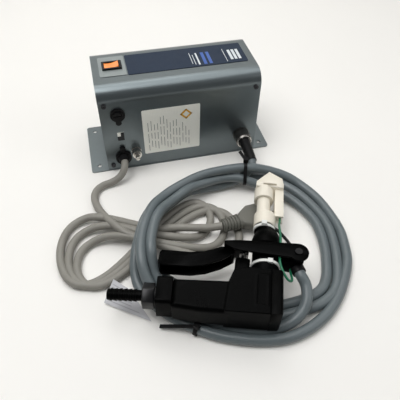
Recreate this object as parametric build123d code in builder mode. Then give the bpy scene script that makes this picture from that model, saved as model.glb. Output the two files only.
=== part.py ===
"""Ionising air blow gun with its high-voltage supply box.

The supply box stands on its mounting plate, with the origin at the centre of the plate's underside,
+X along the box, -Y towards its front face and +Z up. The gun lies on its side in front of the box.
"""
from build123d import *
from math import cos, pi, radians, sin, tan
import os

os.makedirs("parts", exist_ok=True)
pieces = {}

# ---------------------------------------------------------------- driving dimensions (mm)
CASE_L = 175.0            # cover length along X
CASE_D = 83.0             # cover depth along Y
CASE_H = 106.0            # height over the plate's underside
CASE_BEND = 15.0          # outer radius of the two long top bends
SHEET = 1.2               # cover and end plate sheet
PLATE = 1.6               # base plate sheet
SEAM = 0.8                # dark gap between the cover's lower edge and the plate
EAR = 19.4                # plate beyond each end of the cover
EAR_HOLE_X = 97.5
EAR_HOLE_Y = 32.0
EAR_HOLE_D = 4.5
FLANGE = 8.5              # inward flange of an end plate

SWITCH_X, SWITCH_Y = -66.0, 4.0
FUSE_X, FUSE_Z = -68.8, 77.1
BUSH_X, BUSH_Z = -68.7, 18.6
STUD_X, STUD_Z = -53.7, 25.0
HV_X, HV_Z = 69.4, 27.0

HV_CABLE_D = 10.0
MAINS_D = 8.0

COIL_X, COIL_Y = 31.0, -186.0   # centre of the high-voltage cable's coil

GUN_X, GUN_Y, GUN_Z = 44.1, -196.7, 27.5    # origin of the gun's frame, on its mid-plane
GUN_TURN = 69.0                             # heading of the nozzle from +X
GRIP_TURN = 5.1                             # the grip leans this much from square to the nozzle

half_l, half_d = CASE_L / 2, CASE_D / 2
cover_z0 = PLATE + SEAM


# ---------------------------------------------------------------- frames and helpers
def front(out=0.0):
    """Plane of the front face: x along the box, y up, normal out of the face."""
    return Plane(origin=(0, -half_d - out, 0), x_dir=(1, 0, 0), z_dir=(0, -1, 0))


def top(up=0.0):
    """Plane of the cover's top face."""
    return Plane(origin=(0, 0, CASE_H + up), x_dir=(1, 0, 0), z_dir=(0, 0, 1))


gun = Plane(
    origin=(GUN_X, GUN_Y, GUN_Z),
    x_dir=(sin(radians(GUN_TURN)), -cos(radians(GUN_TURN)), 0),
    z_dir=(0, 0, 1),
)


def gun_at(u, v, w=0.0):
    """World point of a gun point: u towards the head's end, v along the nozzle, w up."""
    return gun.from_local_coords((u, v, w))


def along_nozzle(u, v, w=0.0):
    """Plane square to the nozzle at a gun point; its normal runs out of the muzzle."""
    return Plane(origin=gun_at(u, v, w), x_dir=gun.x_dir, z_dir=gun.y_dir)


def along_grip(distance):
    """Plane square to the grip's axis, this far from the inlet end; normal towards the hose."""
    lean = radians(GRIP_TURN)
    u = INLET_U - distance * cos(lean)
    v = INLET_V - distance * sin(lean)
    axis = gun.x_dir * cos(lean) + gun.y_dir * sin(lean)
    return Plane(origin=gun_at(u, v), x_dir=(0, 0, 1), z_dir=axis * -1)


def keep(name, builder):
    """File a finished piece under its node name."""
    builder.part.label = name
    pieces[name] = builder.part


def corner_radii(points, share=0.45):
    """Arc radius at each corner of a cord's route, from the shorter run beside it."""
    vectors = [Vector(*p) for p in points]
    radii = []
    for before, corner, after in zip(vectors, vectors[1:], vectors[2:]):
        turn = (corner - before).get_angle(after - corner)
        shorter = min((corner - before).length, (after - corner).length)
        radii.append(share * shorter / tan(radians(turn / 2)))
    return radii


def cord_tube(label, points, diameter, share=0.45):
    """Round cord along straight runs joined by tangent arcs."""
    radii = corner_radii(points, share)
    with BuildPart() as tube:
        with BuildLine() as route:
            FilletPolyline(*points, radius=radii)
        start = Vector(*points[1]) - Vector(*points[0])
        with BuildSketch(Plane(origin=points[0], z_dir=start)):
            Circle(diameter / 2)
        sweep(path=route.line)
    length = route.wires()[0].length
    ratio = tube.part.volume / (pi * diameter ** 2 / 4 * length)
    print(f"{label}: length {length:.0f} mm, volume ratio {ratio:.3f}, radii",
          [round(r) for r in radii])
    return tube


# ---------------------------------------------------------------- mounting plate and case
with BuildPart() as base_plate:
    with BuildSketch():
        RectangleRounded(CASE_L + 2 * EAR, CASE_D, 3)
    extrude(amount=PLATE)
    with GridLocations(2 * EAR_HOLE_X, 2 * EAR_HOLE_Y, 2, 2):
        Hole(EAR_HOLE_D / 2)
    with GridLocations(2 * (half_l - 6), 50, 2, 2):
        Hole(1.5)
keep("base_plate", base_plate)

CASE_SCREWS = [(x, z) for x in (-81.5, 81.5) for z in (8.2, 89.5)]

with BuildPart() as cover:
    with BuildSketch(Plane.YZ.offset(-half_l)) as wrap:
        with Locations((0, (CASE_H + cover_z0) / 2)):
            Rectangle(CASE_D, CASE_H - cover_z0)
        fillet(wrap.vertices().group_by(Axis.Y)[-1], CASE_BEND)
    extrude(amount=CASE_L)
    with BuildSketch(Plane.YZ.offset(-half_l)) as inside:
        with Locations((0, (CASE_H - SHEET) / 2)):
            Rectangle(CASE_D - 2 * SHEET, CASE_H - SHEET)
        fillet(inside.vertices().group_by(Axis.Y)[-1], CASE_BEND - SHEET)
    extrude(amount=CASE_L, mode=Mode.SUBTRACT)
    with BuildSketch(front(1)):
        with Locations((FUSE_X, FUSE_Z)):
            Circle(6.2)
        with Locations((BUSH_X, BUSH_Z)):
            Circle(6.5)
        with Locations((STUD_X, STUD_Z)):
            Circle(2.5)
        with Locations((HV_X, HV_Z)):
            Circle(7.0)
    extrude(amount=-6, mode=Mode.SUBTRACT)
    with BuildSketch(front(1)):
        with Locations(*CASE_SCREWS):
            Circle(1.5)
    extrude(amount=-(CASE_D + 2), mode=Mode.SUBTRACT)
    with BuildSketch(top(1)):
        with Locations((SWITCH_X, SWITCH_Y)):
            Rectangle(18.6, 12.8)
    extrude(amount=-6, mode=Mode.SUBTRACT)
keep("cover", cover)


def end_plate(side):
    """Tray-shaped end wall: flanges under the cover on all sides and on the plate below."""
    inner_h = CASE_H - SHEET - PLATE
    inner_w = CASE_D - 2 * SHEET
    face = Plane(origin=(side * half_l, 0, 0), x_dir=(0, 1, 0), z_dir=(1, 0, 0))
    with BuildPart() as tray:
        with BuildSketch(face) as rim:
            with Locations((0, PLATE + inner_h / 2)):
                Rectangle(inner_w, inner_h)
            fillet(rim.vertices().group_by(Axis.Y)[-1], CASE_BEND - SHEET)
        extrude(amount=-side * (FLANGE + SHEET))
        with BuildSketch(face.offset(-side * SHEET)) as hollow:
            with Locations((0, PLATE + inner_h / 2)):
                Rectangle(inner_w - 2 * SHEET, inner_h - 2 * SHEET)
            fillet(hollow.vertices().group_by(Axis.Y)[-1], CASE_BEND - 2 * SHEET)
        extrude(amount=-side * (FLANGE + SHEET), mode=Mode.SUBTRACT)
        with BuildSketch(front(1)):
            with Locations(*CASE_SCREWS):
                Circle(1.5)
        extrude(amount=-(CASE_D + 2), mode=Mode.SUBTRACT)
        with BuildSketch():
            with Locations((side * (half_l - 6), 25), (side * (half_l - 6), -25)):
                Circle(1.5)
        extrude(amount=5, mode=Mode.SUBTRACT)
    return tray


keep("end_plate_left", end_plate(-1))
keep("end_plate_right", end_plate(1))

# pan-head screws through the cover into the end plates' flanges, front and back
with BuildPart() as cover_screws:
    for facing in (-1, 1):
        skin = Plane(origin=(0, facing * half_d, 0), x_dir=(-facing, 0, 0), z_dir=(0, facing, 0))
        heads = [(-facing * x, z) for x, z in CASE_SCREWS]
        with BuildSketch(skin):
            with Locations(*heads):
                Circle(2.6)
        extrude(amount=1.7)
        with BuildSketch(skin):
            with Locations(*heads):
                Circle(1.5)
        extrude(amount=-5)
        with BuildSketch(skin.offset(1.0)):
            with Locations(*heads):
                Rectangle(3.2, 0.6)
                Rectangle(0.6, 3.2)
        extrude(amount=1, mode=Mode.SUBTRACT)
keep("cover_screws", cover_screws)

# nuts on the studs that hold the plate to the end plates
with BuildPart() as plate_rivets:
    with BuildSketch():
        with GridLocations(2 * (half_l - 6), 50, 2, 2):
            Circle(1.5)
    extrude(amount=PLATE + SHEET)
    with BuildSketch(Plane.XY.offset(PLATE + SHEET)):
        with GridLocations(2 * (half_l - 6), 50, 2, 2):
            Circle(3)
    extrude(amount=1.2)
keep("plate_rivets", plate_rivets)

# ---------------------------------------------------------------- plates and labels
PANEL = 0.5
with BuildPart() as switch_plate:
    with BuildSketch(top()):
        with Locations((SWITCH_X, SWITCH_Y)):
            RectangleRounded(28, 38.5, 1.5)
            Rectangle(18.6, 12.8, mode=Mode.SUBTRACT)
    extrude(amount=PANEL)
keep("switch_plate", switch_plate)

with BuildPart() as name_plate:
    with BuildSketch(top()):
        with Locations((14.4, 3.5)):
            RectangleRounded(130.6, 39, 1.5)
    extrude(amount=PANEL)
keep("name_plate", name_plate)

with BuildPart() as front_labels:
    with BuildSketch(front()):
        with Locations((-12.1, 47.9)):
            RectangleRounded(63.8, 59.8, 1.5)
        with Locations((-68.5, 48.0)):
            Rectangle(7.2, 11)
    extrude(amount=0.2)
keep("front_labels", front_labels)

# ---------------------------------------------------------------- rocker switch
BEZEL_L, BEZEL_W = 21.0, 15.0
PADDLE_L, PADDLE_W = 15.4, 10.4
ROCK = 7.0                                   # half of the rocker's throw, degrees
PIVOT_Z = CASE_H + PANEL - 1.0

with BuildPart() as switch_body:
    with BuildSketch(top(PANEL)):
        with Locations((SWITCH_X, SWITCH_Y)):
            RectangleRounded(BEZEL_L, BEZEL_W, 1.2)
    extrude(amount=2.0)
    with BuildSketch(top(PANEL)):
        with Locations((SWITCH_X, SWITCH_Y)):
            Rectangle(18.6, 12.8)
    extrude(amount=-18)
    with BuildSketch(top(PANEL + 2.0)):
        with Locations((SWITCH_X, SWITCH_Y)):
            Rectangle(PADDLE_L + 1.2, PADDLE_W + 0.8)
    extrude(amount=-10, mode=Mode.SUBTRACT)
    for side in (-1, 1):
        with Locations((SWITCH_X + side * 5, SWITCH_Y, CASE_H + PANEL - 18 - 4)):
            Box(0.8, 4.8, 8)
    pin_hole = Plane(origin=(SWITCH_X, SWITCH_Y, PIVOT_Z), x_dir=(1, 0, 0), z_dir=(0, 1, 0))
    with BuildSketch(pin_hole):
        Circle(1.0)
    extrude(amount=6.2, both=True, mode=Mode.SUBTRACT)
keep("switch_body", switch_body)

with BuildPart() as rocker:
    side_face = Plane(origin=(SWITCH_X, SWITCH_Y, PIVOT_Z), x_dir=(1, 0, 0), z_dir=(0, -1, 0))
    with BuildSketch(side_face.rotated((0, -ROCK, 0))):
        with BuildLine():
            Polyline((-7.6, 3.2), (-7.0, -1.6), (0, -4.2), (7.0, -1.6), (7.6, 3.2))
            ThreePointArc((7.6, 3.2), (0, 1.9), (-7.6, 3.2))
        make_face()
    extrude(amount=PADDLE_W / 2, both=True)
    with BuildSketch(side_face):
        Circle(0.95)
    extrude(amount=6.1, both=True)
keep("rocker", rocker)

# ---------------------------------------------------------------- fuse holder
with BuildPart() as fuse_holder:
    with BuildSketch(front()):
        with Locations((FUSE_X, FUSE_Z)):
            Circle(7.75)
        with Locations((FUSE_X, FUSE_Z - 9.5)):
            Circle(3.15)
        with Locations((FUSE_X, FUSE_Z - 7)):
            Rectangle(4, 5)
    extrude(amount=2.4)
    with BuildSketch(front()):
        with Locations((FUSE_X, FUSE_Z)):
            Circle(6.2)
    extrude(amount=-34)
    with BuildSketch(front(2.4)):
        with Locations((FUSE_X, FUSE_Z)):
            Circle(5.4)
    extrude(amount=-9.0, mode=Mode.SUBTRACT)
    with BuildSketch(front(2.4)):
        with Locations((FUSE_X, FUSE_Z)):
            Circle(3.6)
    extrude(amount=-34, mode=Mode.SUBTRACT)
    with BuildSketch(front(-34)):
        with Locations((FUSE_X, FUSE_Z)):
            Rectangle(4.8, 0.8)
    extrude(amount=-8)
keep("fuse_holder", fuse_holder)

with BuildPart() as fuse_cap:
    with BuildSketch(front(3.9)):
        with Locations((FUSE_X, FUSE_Z)):
            Circle(5.1)
    extrude(amount=-8.5)
    with BuildSketch(front(3.9)):
        with Locations((FUSE_X, FUSE_Z)):
            Rectangle(7.5, 1.2)
    extrude(amount=-1.4, mode=Mode.SUBTRACT)
    with BuildSketch(front(-4.6)):
        with Locations((FUSE_X, FUSE_Z)):
            Circle(2.7)
    extrude(amount=4, mode=Mode.SUBTRACT)
keep("fuse_cap", fuse_cap)

with BuildPart() as fuse:
    with BuildSketch(front(-1.2)):
        with Locations((FUSE_X, FUSE_Z)):
            Circle(2.6)
    extrude(amount=-20)
keep("fuse", fuse)

# ---------------------------------------------------------------- mains cord bushing
BUSH_NOSE = 9.0
with BuildPart() as cord_bushing:
    with BuildSketch(front()):
        with Locations((BUSH_X, BUSH_Z)):
            Circle(8.9)
        with Locations((BUSH_X, BUSH_Z + 12.8)):
            Circle(3.0)
        with Locations((BUSH_X, BUSH_Z + 9)):
            Rectangle(4, 5)
    extrude(amount=3.0)
    with BuildSketch(front()):
        with Locations((BUSH_X, BUSH_Z)):
            Circle(6.5)
    extrude(amount=-9)
    with BuildSketch(front(3.0)):
        with Locations((BUSH_X, BUSH_Z)):
            Circle(6.4)
    extrude(amount=BUSH_NOSE - 3.0, taper=9)
    with BuildSketch(front(BUSH_NOSE - 3)):
        with Locations((BUSH_X, BUSH_Z)):
            Circle(MAINS_D / 2)
    extrude(amount=4, mode=Mode.SUBTRACT)
keep("cord_bushing", cord_bushing)

# ---------------------------------------------------------------- earth terminal
with BuildPart() as ground_stud:
    with BuildSketch(front(-6)):
        with Locations((STUD_X, STUD_Z)):
            Circle(2.5)
    extrude(amount=20.5)
    with BuildSketch(front(-SHEET)):
        with Locations((STUD_X, STUD_Z)):
            RegularPolygon(4.6, 6)
    extrude(amount=-3.5)
    with BuildSketch(front(14.5)):
        with Locations((STUD_X, STUD_Z)):
            Rectangle(6, 0.9)
    extrude(amount=-1.4, mode=Mode.SUBTRACT)
keep("ground_stud", ground_stud)

with BuildPart() as ground_washer:
    with BuildSketch(front()):
        with Locations((STUD_X, STUD_Z)):
            Circle(5.6)
            Circle(2.5, mode=Mode.SUBTRACT)
    extrude(amount=1.0)
keep("ground_washer", ground_washer)

with BuildPart() as ground_nut:
    with BuildSketch(front(1.2)):
        with Locations((STUD_X, STUD_Z)):
            Circle(5.2)
    extrude(amount=7)
    with BuildSketch(front(8.2)):
        with Locations((STUD_X, STUD_Z)):
            Circle(3.9)
    extrude(amount=2.2)
    with BuildSketch(front(1.2)):
        with Locations((STUD_X, STUD_Z)):
            Circle(2.58)
    extrude(amount=10, mode=Mode.SUBTRACT)
    with BuildSketch(front(1.2)):
        with Locations((STUD_X, STUD_Z)):
            with PolarLocations(5.35, 24):
                Circle(0.35)
    extrude(amount=7, mode=Mode.SUBTRACT)
keep("ground_nut", ground_nut)

# ---------------------------------------------------------------- high-voltage connector
BOOT_TIP = 44.5           # boot's end, out from the front face
BOOT_DROP = 4.0           # the boot sags this much by its end
with BuildPart() as hv_socket:
    with BuildSketch(front()):
        with Locations((HV_X, HV_Z)):
            Circle(9.6)
    extrude(amount=2.2)
    with BuildSketch(front()):
        with Locations((HV_X, HV_Z)):
            Circle(7.0)
    extrude(amount=-22)
    with BuildSketch(front(2.2)):
        with Locations((HV_X, HV_Z)):
            Circle(7.0)
    extrude(amount=6.3)
    with BuildSketch(front(8.5)):
        with Locations((HV_X, HV_Z)):
            Circle(4.6)
    extrude(amount=-24, mode=Mode.SUBTRACT)
keep("hv_socket", hv_socket)

# thin nuts behind the panel, on the fuse holder and on the connector
with BuildPart() as panel_nuts:
    for x, z, bore, size in ((FUSE_X, FUSE_Z, 6.2, 7.3), (HV_X, HV_Z, 7.0, 8.2)):
        with BuildSketch(front(-SHEET)):
            with Locations((x, z)):
                RegularPolygon(size, 6)
                Circle(bore, mode=Mode.SUBTRACT)
        extrude(amount=-3)
keep("panel_nuts", panel_nuts)

with BuildPart() as hv_ring:
    with BuildSketch(front(2.6)):
        with Locations((HV_X, HV_Z)):
            Circle(9.25)
    extrude(amount=11.4)
    with BuildSketch(front(14.0)):
        with Locations((HV_X, HV_Z)):
            Circle(9.25)
    extrude(amount=1.2, taper=30)
    with BuildSketch(front(2.6)):
        with Locations((HV_X, HV_Z)):
            Circle(7.08)
    extrude(amount=9.9, mode=Mode.SUBTRACT)
    with BuildSketch(front(2.6)):
        with Locations((HV_X, HV_Z)):
            Circle(6.18)
    extrude(amount=14, mode=Mode.SUBTRACT)
    with BuildSketch(front(2.6)):
        with Locations((HV_X, HV_Z)):
            with PolarLocations(9.4, 30):
                Circle(0.4)
    extrude(amount=8, mode=Mode.SUBTRACT)
keep("hv_ring", hv_ring)

with BuildPart() as hv_plug:
    with BuildSketch(front(8.5)):
        with Locations((HV_X, HV_Z)):
            Circle(6.8)
    extrude(amount=3.6)
    with BuildSketch(front(8.5)):
        with Locations((HV_X, HV_Z)):
            Circle(4.3)
    extrude(amount=-20)
    with BuildSketch(front(12.1)):
        with Locations((HV_X, HV_Z)):
            Circle(6.1)
    extrude(amount=6.4)
keep("hv_plug", hv_plug)

boot_start = Vector(HV_X, -half_d - 18.5, HV_Z)
boot_end = Vector(HV_X, -half_d - BOOT_TIP, HV_Z - BOOT_DROP)
boot_way = (boot_end - boot_start).normalized()
with BuildPart() as hv_boot:
    with BuildSketch(front(18.5)) as wide_end:
        with Locations((HV_X, HV_Z)):
            Circle(6.1)
    with BuildSketch(Plane(origin=boot_end, x_dir=(1, 0, 0), z_dir=boot_way)) as narrow_end:
        Circle(HV_CABLE_D / 2 + 0.4)
    loft()

# ---------------------------------------------------------------- inside the case
CORE_X = 18.0
with BuildPart() as transformer_core:
    with BuildSketch(Plane.XY.offset(PLATE)):
        with Locations((CORE_X, 0)):
            Rectangle(66, 26)
    extrude(amount=56)
    with BuildSketch(Plane.XZ.offset(-14)):
        with Locations((CORE_X - 16.5, PLATE + 28), (CORE_X + 16.5, PLATE + 28)):
            Rectangle(11.4, 34)
    extrude(amount=28, mode=Mode.SUBTRACT)
    with BuildSketch(Plane.XY.offset(PLATE)):
        with Locations((CORE_X, 0)):
            Rectangle(66, 46)
    extrude(amount=2)
    with BuildSketch(Plane.XY.offset(PLATE)):
        with Locations((CORE_X, 0)):
            with GridLocations(54, 36, 2, 2):
                Circle(2)
    extrude(amount=2, mode=Mode.SUBTRACT)
keep("transformer_core", transformer_core)

with BuildPart() as transformer_windings:
    with BuildSketch(Plane.XY.offset(PLATE + 11.5)):
        with Locations((CORE_X, 0)):
            RectangleRounded(44, 50, 5)
            Rectangle(21.6, 26, mode=Mode.SUBTRACT)
    extrude(amount=33)
keep("transformer_windings", transformer_windings)

with BuildPart() as transformer_screws:
    with BuildSketch(Plane.XY.offset(PLATE)):
        with Locations((CORE_X, 0)):
            with GridLocations(54, 36, 2, 2):
                Circle(2)
    extrude(amount=2)
    with BuildSketch(Plane.XY.offset(PLATE + 2)):
        with Locations((CORE_X, 0)):
            with GridLocations(54, 36, 2, 2):
                Circle(3.6)
    extrude(amount=2.4)
keep("transformer_screws", transformer_screws)

TERMINAL_X = -38.0
with BuildPart() as terminal_block:
    with Locations((TERMINAL_X, 6, PLATE + 8)):
        Box(18, 44, 16)
    with BuildSketch(Plane.XY.offset(PLATE + 16)):
        with Locations((TERMINAL_X, 6)):
            with GridLocations(9, 10, 2, 4):
                Circle(2.2)
    extrude(amount=-5, mode=Mode.SUBTRACT)
keep("terminal_block", terminal_block)


back_of_front = -half_d + 9
block_left, block_right = TERMINAL_X - 9, TERMINAL_X + 9
winding_left, winding_right = CORE_X - 22, CORE_X + 22
LEAD_Z = 12.0
switch_foot = CASE_H + PANEL - 26

# insulated wires inside the case: route, diameter, bend radius
LEADS = [
    ([(BUSH_X - 2, back_of_front, BUSH_Z), (BUSH_X - 2, -20, BUSH_Z), (block_left - 11, -10, LEAD_Z),
      (block_left, -10, LEAD_Z)], 2.4, 4),
    ([(BUSH_X + 2, back_of_front, BUSH_Z), (BUSH_X + 2, -26, BUSH_Z), (block_left - 9, -2, LEAD_Z),
      (block_left, -2, LEAD_Z)], 2.4, 4),
    ([(SWITCH_X - 5, SWITCH_Y, switch_foot), (SWITCH_X - 5, SWITCH_Y, 62), (SWITCH_X + 4, 12, 24),
      (block_left - 8, 12, LEAD_Z), (block_left, 12, LEAD_Z)], 2.0, 3),
    ([(SWITCH_X + 5, SWITCH_Y, switch_foot), (SWITCH_X + 5, SWITCH_Y, 62), (SWITCH_X + 9, 22, 24),
      (block_left - 7, 22, LEAD_Z), (block_left, 22, LEAD_Z)], 2.0, 3),
    ([(block_right, 8, LEAD_Z), (block_right + 8, 8, LEAD_Z), (winding_left - 9, 22, 30),
      (winding_left, 22, 30)], 2.0, 4),
    ([(block_right, -4, LEAD_Z), (block_right + 8, -4, LEAD_Z), (winding_left - 9, -22, 30),
      (winding_left, -22, 30)], 2.0, 4),
    ([(winding_right, 18, 34), (winding_right + 16, 18, 34), (HV_X, 0, HV_Z),
      (HV_X, -half_d + 22, HV_Z)], 5.0, 7),
]
wires = []
for points, diameter, bend in LEADS:
    with BuildPart() as wire:
        with BuildLine() as route:
            FilletPolyline(*points, radius=bend)
        with BuildSketch(Plane(origin=points[0], z_dir=Vector(*points[1]) - Vector(*points[0]))):
            Circle(diameter / 2)
        sweep(path=route.line)
    wires.append(wire)
with BuildPart() as internal_leads:
    for wire in wires:
        add(wire.part)
keep("internal_leads", internal_leads)

# ---------------------------------------------------------------- gun: body
HEAD_T = 14.4             # half thickness of the head, the end cap and the neck's lugs
GRIP_T = 13.0             # half thickness of the grip
CAP_U = 7.3               # joint between the head and its end cap
END_U = 17.0              # outer end of the head
INLET_U, INLET_V = -74.5, -71.0     # inlet end of the grip, on the grip's axis
VALVE_U = -17.5           # valve stem's axis
VALVE_TOP = -27.0         # top of the block that guides the stem
EDGE = 2.5                # rounding of the moulded edges
AIR_D = 5.0               # air passage
HEAD_V = -41.5            # top of the head, where the neck stands on it

HEAD = [(CAP_U, HEAD_V), (-12, HEAD_V), (-25, -45), (-28.5, -56), (-30, -86), (-2, -84.5),
        (CAP_U, -84)]


def grip_end(v):
    """The inlet end of the grip is square to its axis: u of that end at this v."""
    return INLET_U - (v - INLET_V) * tan(radians(GRIP_TURN))


GRIP = [(-26, -55.5), (grip_end(-60), -60), (grip_end(-86), -86), (-50, -87), (-26, -86)]

with BuildPart() as gun_body:
    with BuildSketch(gun):
        with BuildLine():
            Polyline(*GRIP, close=True)
        make_face()
    extrude(amount=GRIP_T, both=True)
    grip_edges = gun_body.edges().filter_by(Axis.Z, reverse=True)
    fillet(grip_edges, 4)
    with BuildSketch(gun):
        with BuildLine():
            Polyline(*HEAD, close=True)
        make_face()
    extrude(amount=HEAD_T, both=True)
    with BuildSketch(along_nozzle(VALVE_U, -46)):
        with Locations((-0.6, 0)):
            RectangleRounded(13.2, 12, 2.5)
    extrude(amount=VALVE_TOP + 46)
    with BuildSketch(gun.offset(HEAD_T)):
        with Locations((-0.4, -62.5)):
            RectangleRounded(10.8, 30, 1)
            RectangleRounded(8.8, 28, 0.6, mode=Mode.SUBTRACT)
    extrude(amount=0.4)
    with BuildSketch(along_grip(0)):
        Circle(AIR_D / 2)
    extrude(amount=-60, mode=Mode.SUBTRACT)
    with BuildSketch(along_nozzle(VALVE_U, VALVE_TOP)):
        Circle(3.0)
    extrude(amount=-25, mode=Mode.SUBTRACT)
    with BuildSketch(along_nozzle(VALVE_U, -50)):
        Circle(6.5)
    extrude(amount=-26, mode=Mode.SUBTRACT)
    with BuildSketch(along_nozzle(2.0, -38)):
        Circle(AIR_D / 2)
    extrude(amount=-24, mode=Mode.SUBTRACT)
    cross_bore = Plane(origin=gun_at(4.5, -58), x_dir=(0, 0, 1), z_dir=gun.x_dir * -1)
    with BuildSketch(cross_bore):
        Circle(AIR_D / 2)
    extrude(amount=20, mode=Mode.SUBTRACT)
keep("gun_body", gun_body)

with BuildPart() as gun_end_cap:
    with BuildSketch(gun):
        with BuildLine():
            Polyline((CAP_U, HEAD_V), (END_U, HEAD_V), (END_U, -83), (CAP_U, -84), close=True)
        make_face()
    extrude(amount=HEAD_T, both=True)
    outer_corners = gun_end_cap.faces().sort_by(Axis(gun.origin, gun.x_dir))[-1].edges()
    fillet(outer_corners, EDGE)
    recess = Plane(origin=gun_at(CAP_U, -63), x_dir=(0, 0, 1), z_dir=gun.x_dir)
    with BuildSketch(recess):
        Rectangle(22, 34)
    extrude(amount=6, mode=Mode.SUBTRACT)
keep("gun_end_cap", gun_end_cap)

# ---------------------------------------------------------------- gun: neck with the lever's lug
NECK_U = 2.5
NECK_R = 12.4
NECK_TOP = 9.0
COLLAR_R = 9.5            # round collar of the neck, under the nozzle
COLLAR_TOP = 14.4
PIN_U, PIN_V = 29.5, -22.0
PIN_R = 2.0
PIN_HEAD_W = 17.3         # underside of the pin's upper head, from the mid-plane
LUG_T = 13.6              # the lug's boss rises this far towards the lever's arm
LUG_HALF = 7.5            # half thickness of the lug
SKIRT_R = 14.2            # the neck swells to this behind its collar
SKIRT_LOW, SKIRT_HIGH = -11.0, -5.0
neck_z = Plane(origin=gun_at(NECK_U, HEAD_V), x_dir=gun.x_dir, z_dir=gun.y_dir)

with BuildPart() as gun_neck:
    with BuildSketch(neck_z):
        Circle(NECK_R)
    extrude(amount=2 - HEAD_V)
    with BuildSketch(neck_z.offset(2 - HEAD_V)):
        Circle(NECK_R)
    extrude(amount=NECK_TOP - 2, taper=22)
    with BuildSketch(neck_z.offset(SKIRT_LOW - HEAD_V)):
        Circle(SKIRT_R)
    extrude(amount=SKIRT_HIGH - SKIRT_LOW)
    with BuildSketch(neck_z.offset(SKIRT_HIGH - HEAD_V)):
        Circle(SKIRT_R)
    extrude(amount=7, taper=14.4)
    with BuildSketch(along_nozzle(0.2, NECK_TOP - 1)):
        Circle(COLLAR_R)
    extrude(amount=COLLAR_TOP - NECK_TOP + 1)
    with BuildSketch(gun):
        with BuildLine():
            Polyline((NECK_U + 4, -26.5), (20, -27.5), (PIN_U, -28.5), (PIN_U, -14), (12, -6),
                     (NECK_U + 4, -6), close=True)
        make_face()
        with Locations((PIN_U, PIN_V)):
            Circle(6.6)
    extrude(amount=LUG_HALF, both=True)
    with BuildSketch(gun):
        with Locations((PIN_U, PIN_V)):
            Circle(5.5)
    extrude(amount=LUG_T)
    with BuildSketch(gun):
        with Locations((PIN_U, PIN_V)):
            Circle(PIN_R)
    extrude(amount=20, both=True, mode=Mode.SUBTRACT)
    with BuildSketch(along_nozzle(2.0, HEAD_V)):
        Circle(AIR_D / 2)
    extrude(amount=60, mode=Mode.SUBTRACT)
keep("gun_neck", gun_neck)

with BuildPart() as lever_pin:
    with BuildSketch(gun.offset(-LUG_HALF)):
        with Locations((PIN_U, PIN_V)):
            Circle(PIN_R)
    extrude(amount=LUG_HALF + PIN_HEAD_W)
    for face_w, rise in ((PIN_HEAD_W, 1), (-LUG_HALF, -1)):
        with BuildSketch(gun.offset(face_w)):
            with Locations((PIN_U, PIN_V)):
                Circle(3.2)
        extrude(amount=rise * 0.9)
keep("lever_pin", lever_pin)

# ---------------------------------------------------------------- gun: lever
ARM_IN, ARM_OUT = 14.9, 16.9          # the arm that passes beside the neck, from the mid-plane
BAR_IN, BAR_OUT = 6.3, 8.0            # side walls of the bar under the fingers
BAR = [(-92.5, -32), (-91, -29.6), (-79, -29), (-66, -28.6), (-52.6, -25.9), (-39.6, -19.6),
       (-33, -17.6), (-27, -16.6), (-26, -24.5), (-37.5, -33.5), (-50.5, -40.1), (-63.7, -43.6),
       (-77.2, -44.3), (-90, -45), (-92.5, -42)]
BAR_HOLLOW = [(-90.5, -31.6), (-79, -31), (-66, -30.6), (-52.6, -27.9), (-39.6, -21.6), (-28.5, -19.4),
              (-28.5, -50), (-90.5, -50)]
ARM = [(-36, -18.4), (-33, -17.6), (-27, -16.6), (-20, -15.8), (-13, -15.3), (PIN_U, -13),
       (PIN_U, -28.5), (-13, -27), (-20, -27), (-27, -25.5), (-36, -22)]
YOKE = [(-36, -18.4), (-33, -17.6), (-27, -16.6), (-20, -15.8), (-13, -15.3), (-13, -17.4),
        (-20, -17.9), (-27, -18.7), (-33, -19.8), (-36, -21)]
with BuildPart() as lever:
    with BuildSketch(gun):
        with BuildLine():
            Polyline(*BAR, close=True)
        make_face()
    extrude(amount=BAR_OUT, both=True)
    with BuildSketch(gun):
        with BuildLine():
            Polyline(*BAR_HOLLOW, close=True)
        make_face()
    extrude(amount=BAR_IN, both=True, mode=Mode.SUBTRACT)
    with BuildSketch(gun.offset(ARM_IN)):
        with BuildLine():
            Polyline(*ARM, close=True)
        make_face()
        with Locations((PIN_U, PIN_V)):
            Circle(9.0)
            Circle(PIN_R + 0.15, mode=Mode.SUBTRACT)
    extrude(amount=ARM_OUT - ARM_IN)
    with BuildSketch(gun.offset(-BAR_OUT)):
        with BuildLine():
            Polyline(*YOKE, close=True)
        make_face()
    extrude(amount=BAR_OUT + ARM_OUT)
keep("lever", lever)

# ---------------------------------------------------------------- gun: valve
STEM_TOP = -19.0          # stem's outer end; the lever's yoke presses it
with BuildPart() as valve_stem:
    with BuildSketch(along_nozzle(VALVE_U, -70)):
        Circle(2.2)
    extrude(amount=70 + STEM_TOP - 2)
    with BuildSketch(along_nozzle(VALVE_U, STEM_TOP - 2)):
        Circle(4.0)
    extrude(amount=2)
    with BuildSketch(along_nozzle(VALVE_U, -57)):
        Circle(5.4)
    extrude(amount=3)
keep("valve_stem", valve_stem)

with BuildPart() as valve_gland:
    with BuildSketch(along_nozzle(VALVE_U, -53.6)):
        Circle(6.5)
        Circle(2.6, mode=Mode.SUBTRACT)
    extrude(amount=3.6)
keep("valve_gland", valve_gland)

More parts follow.
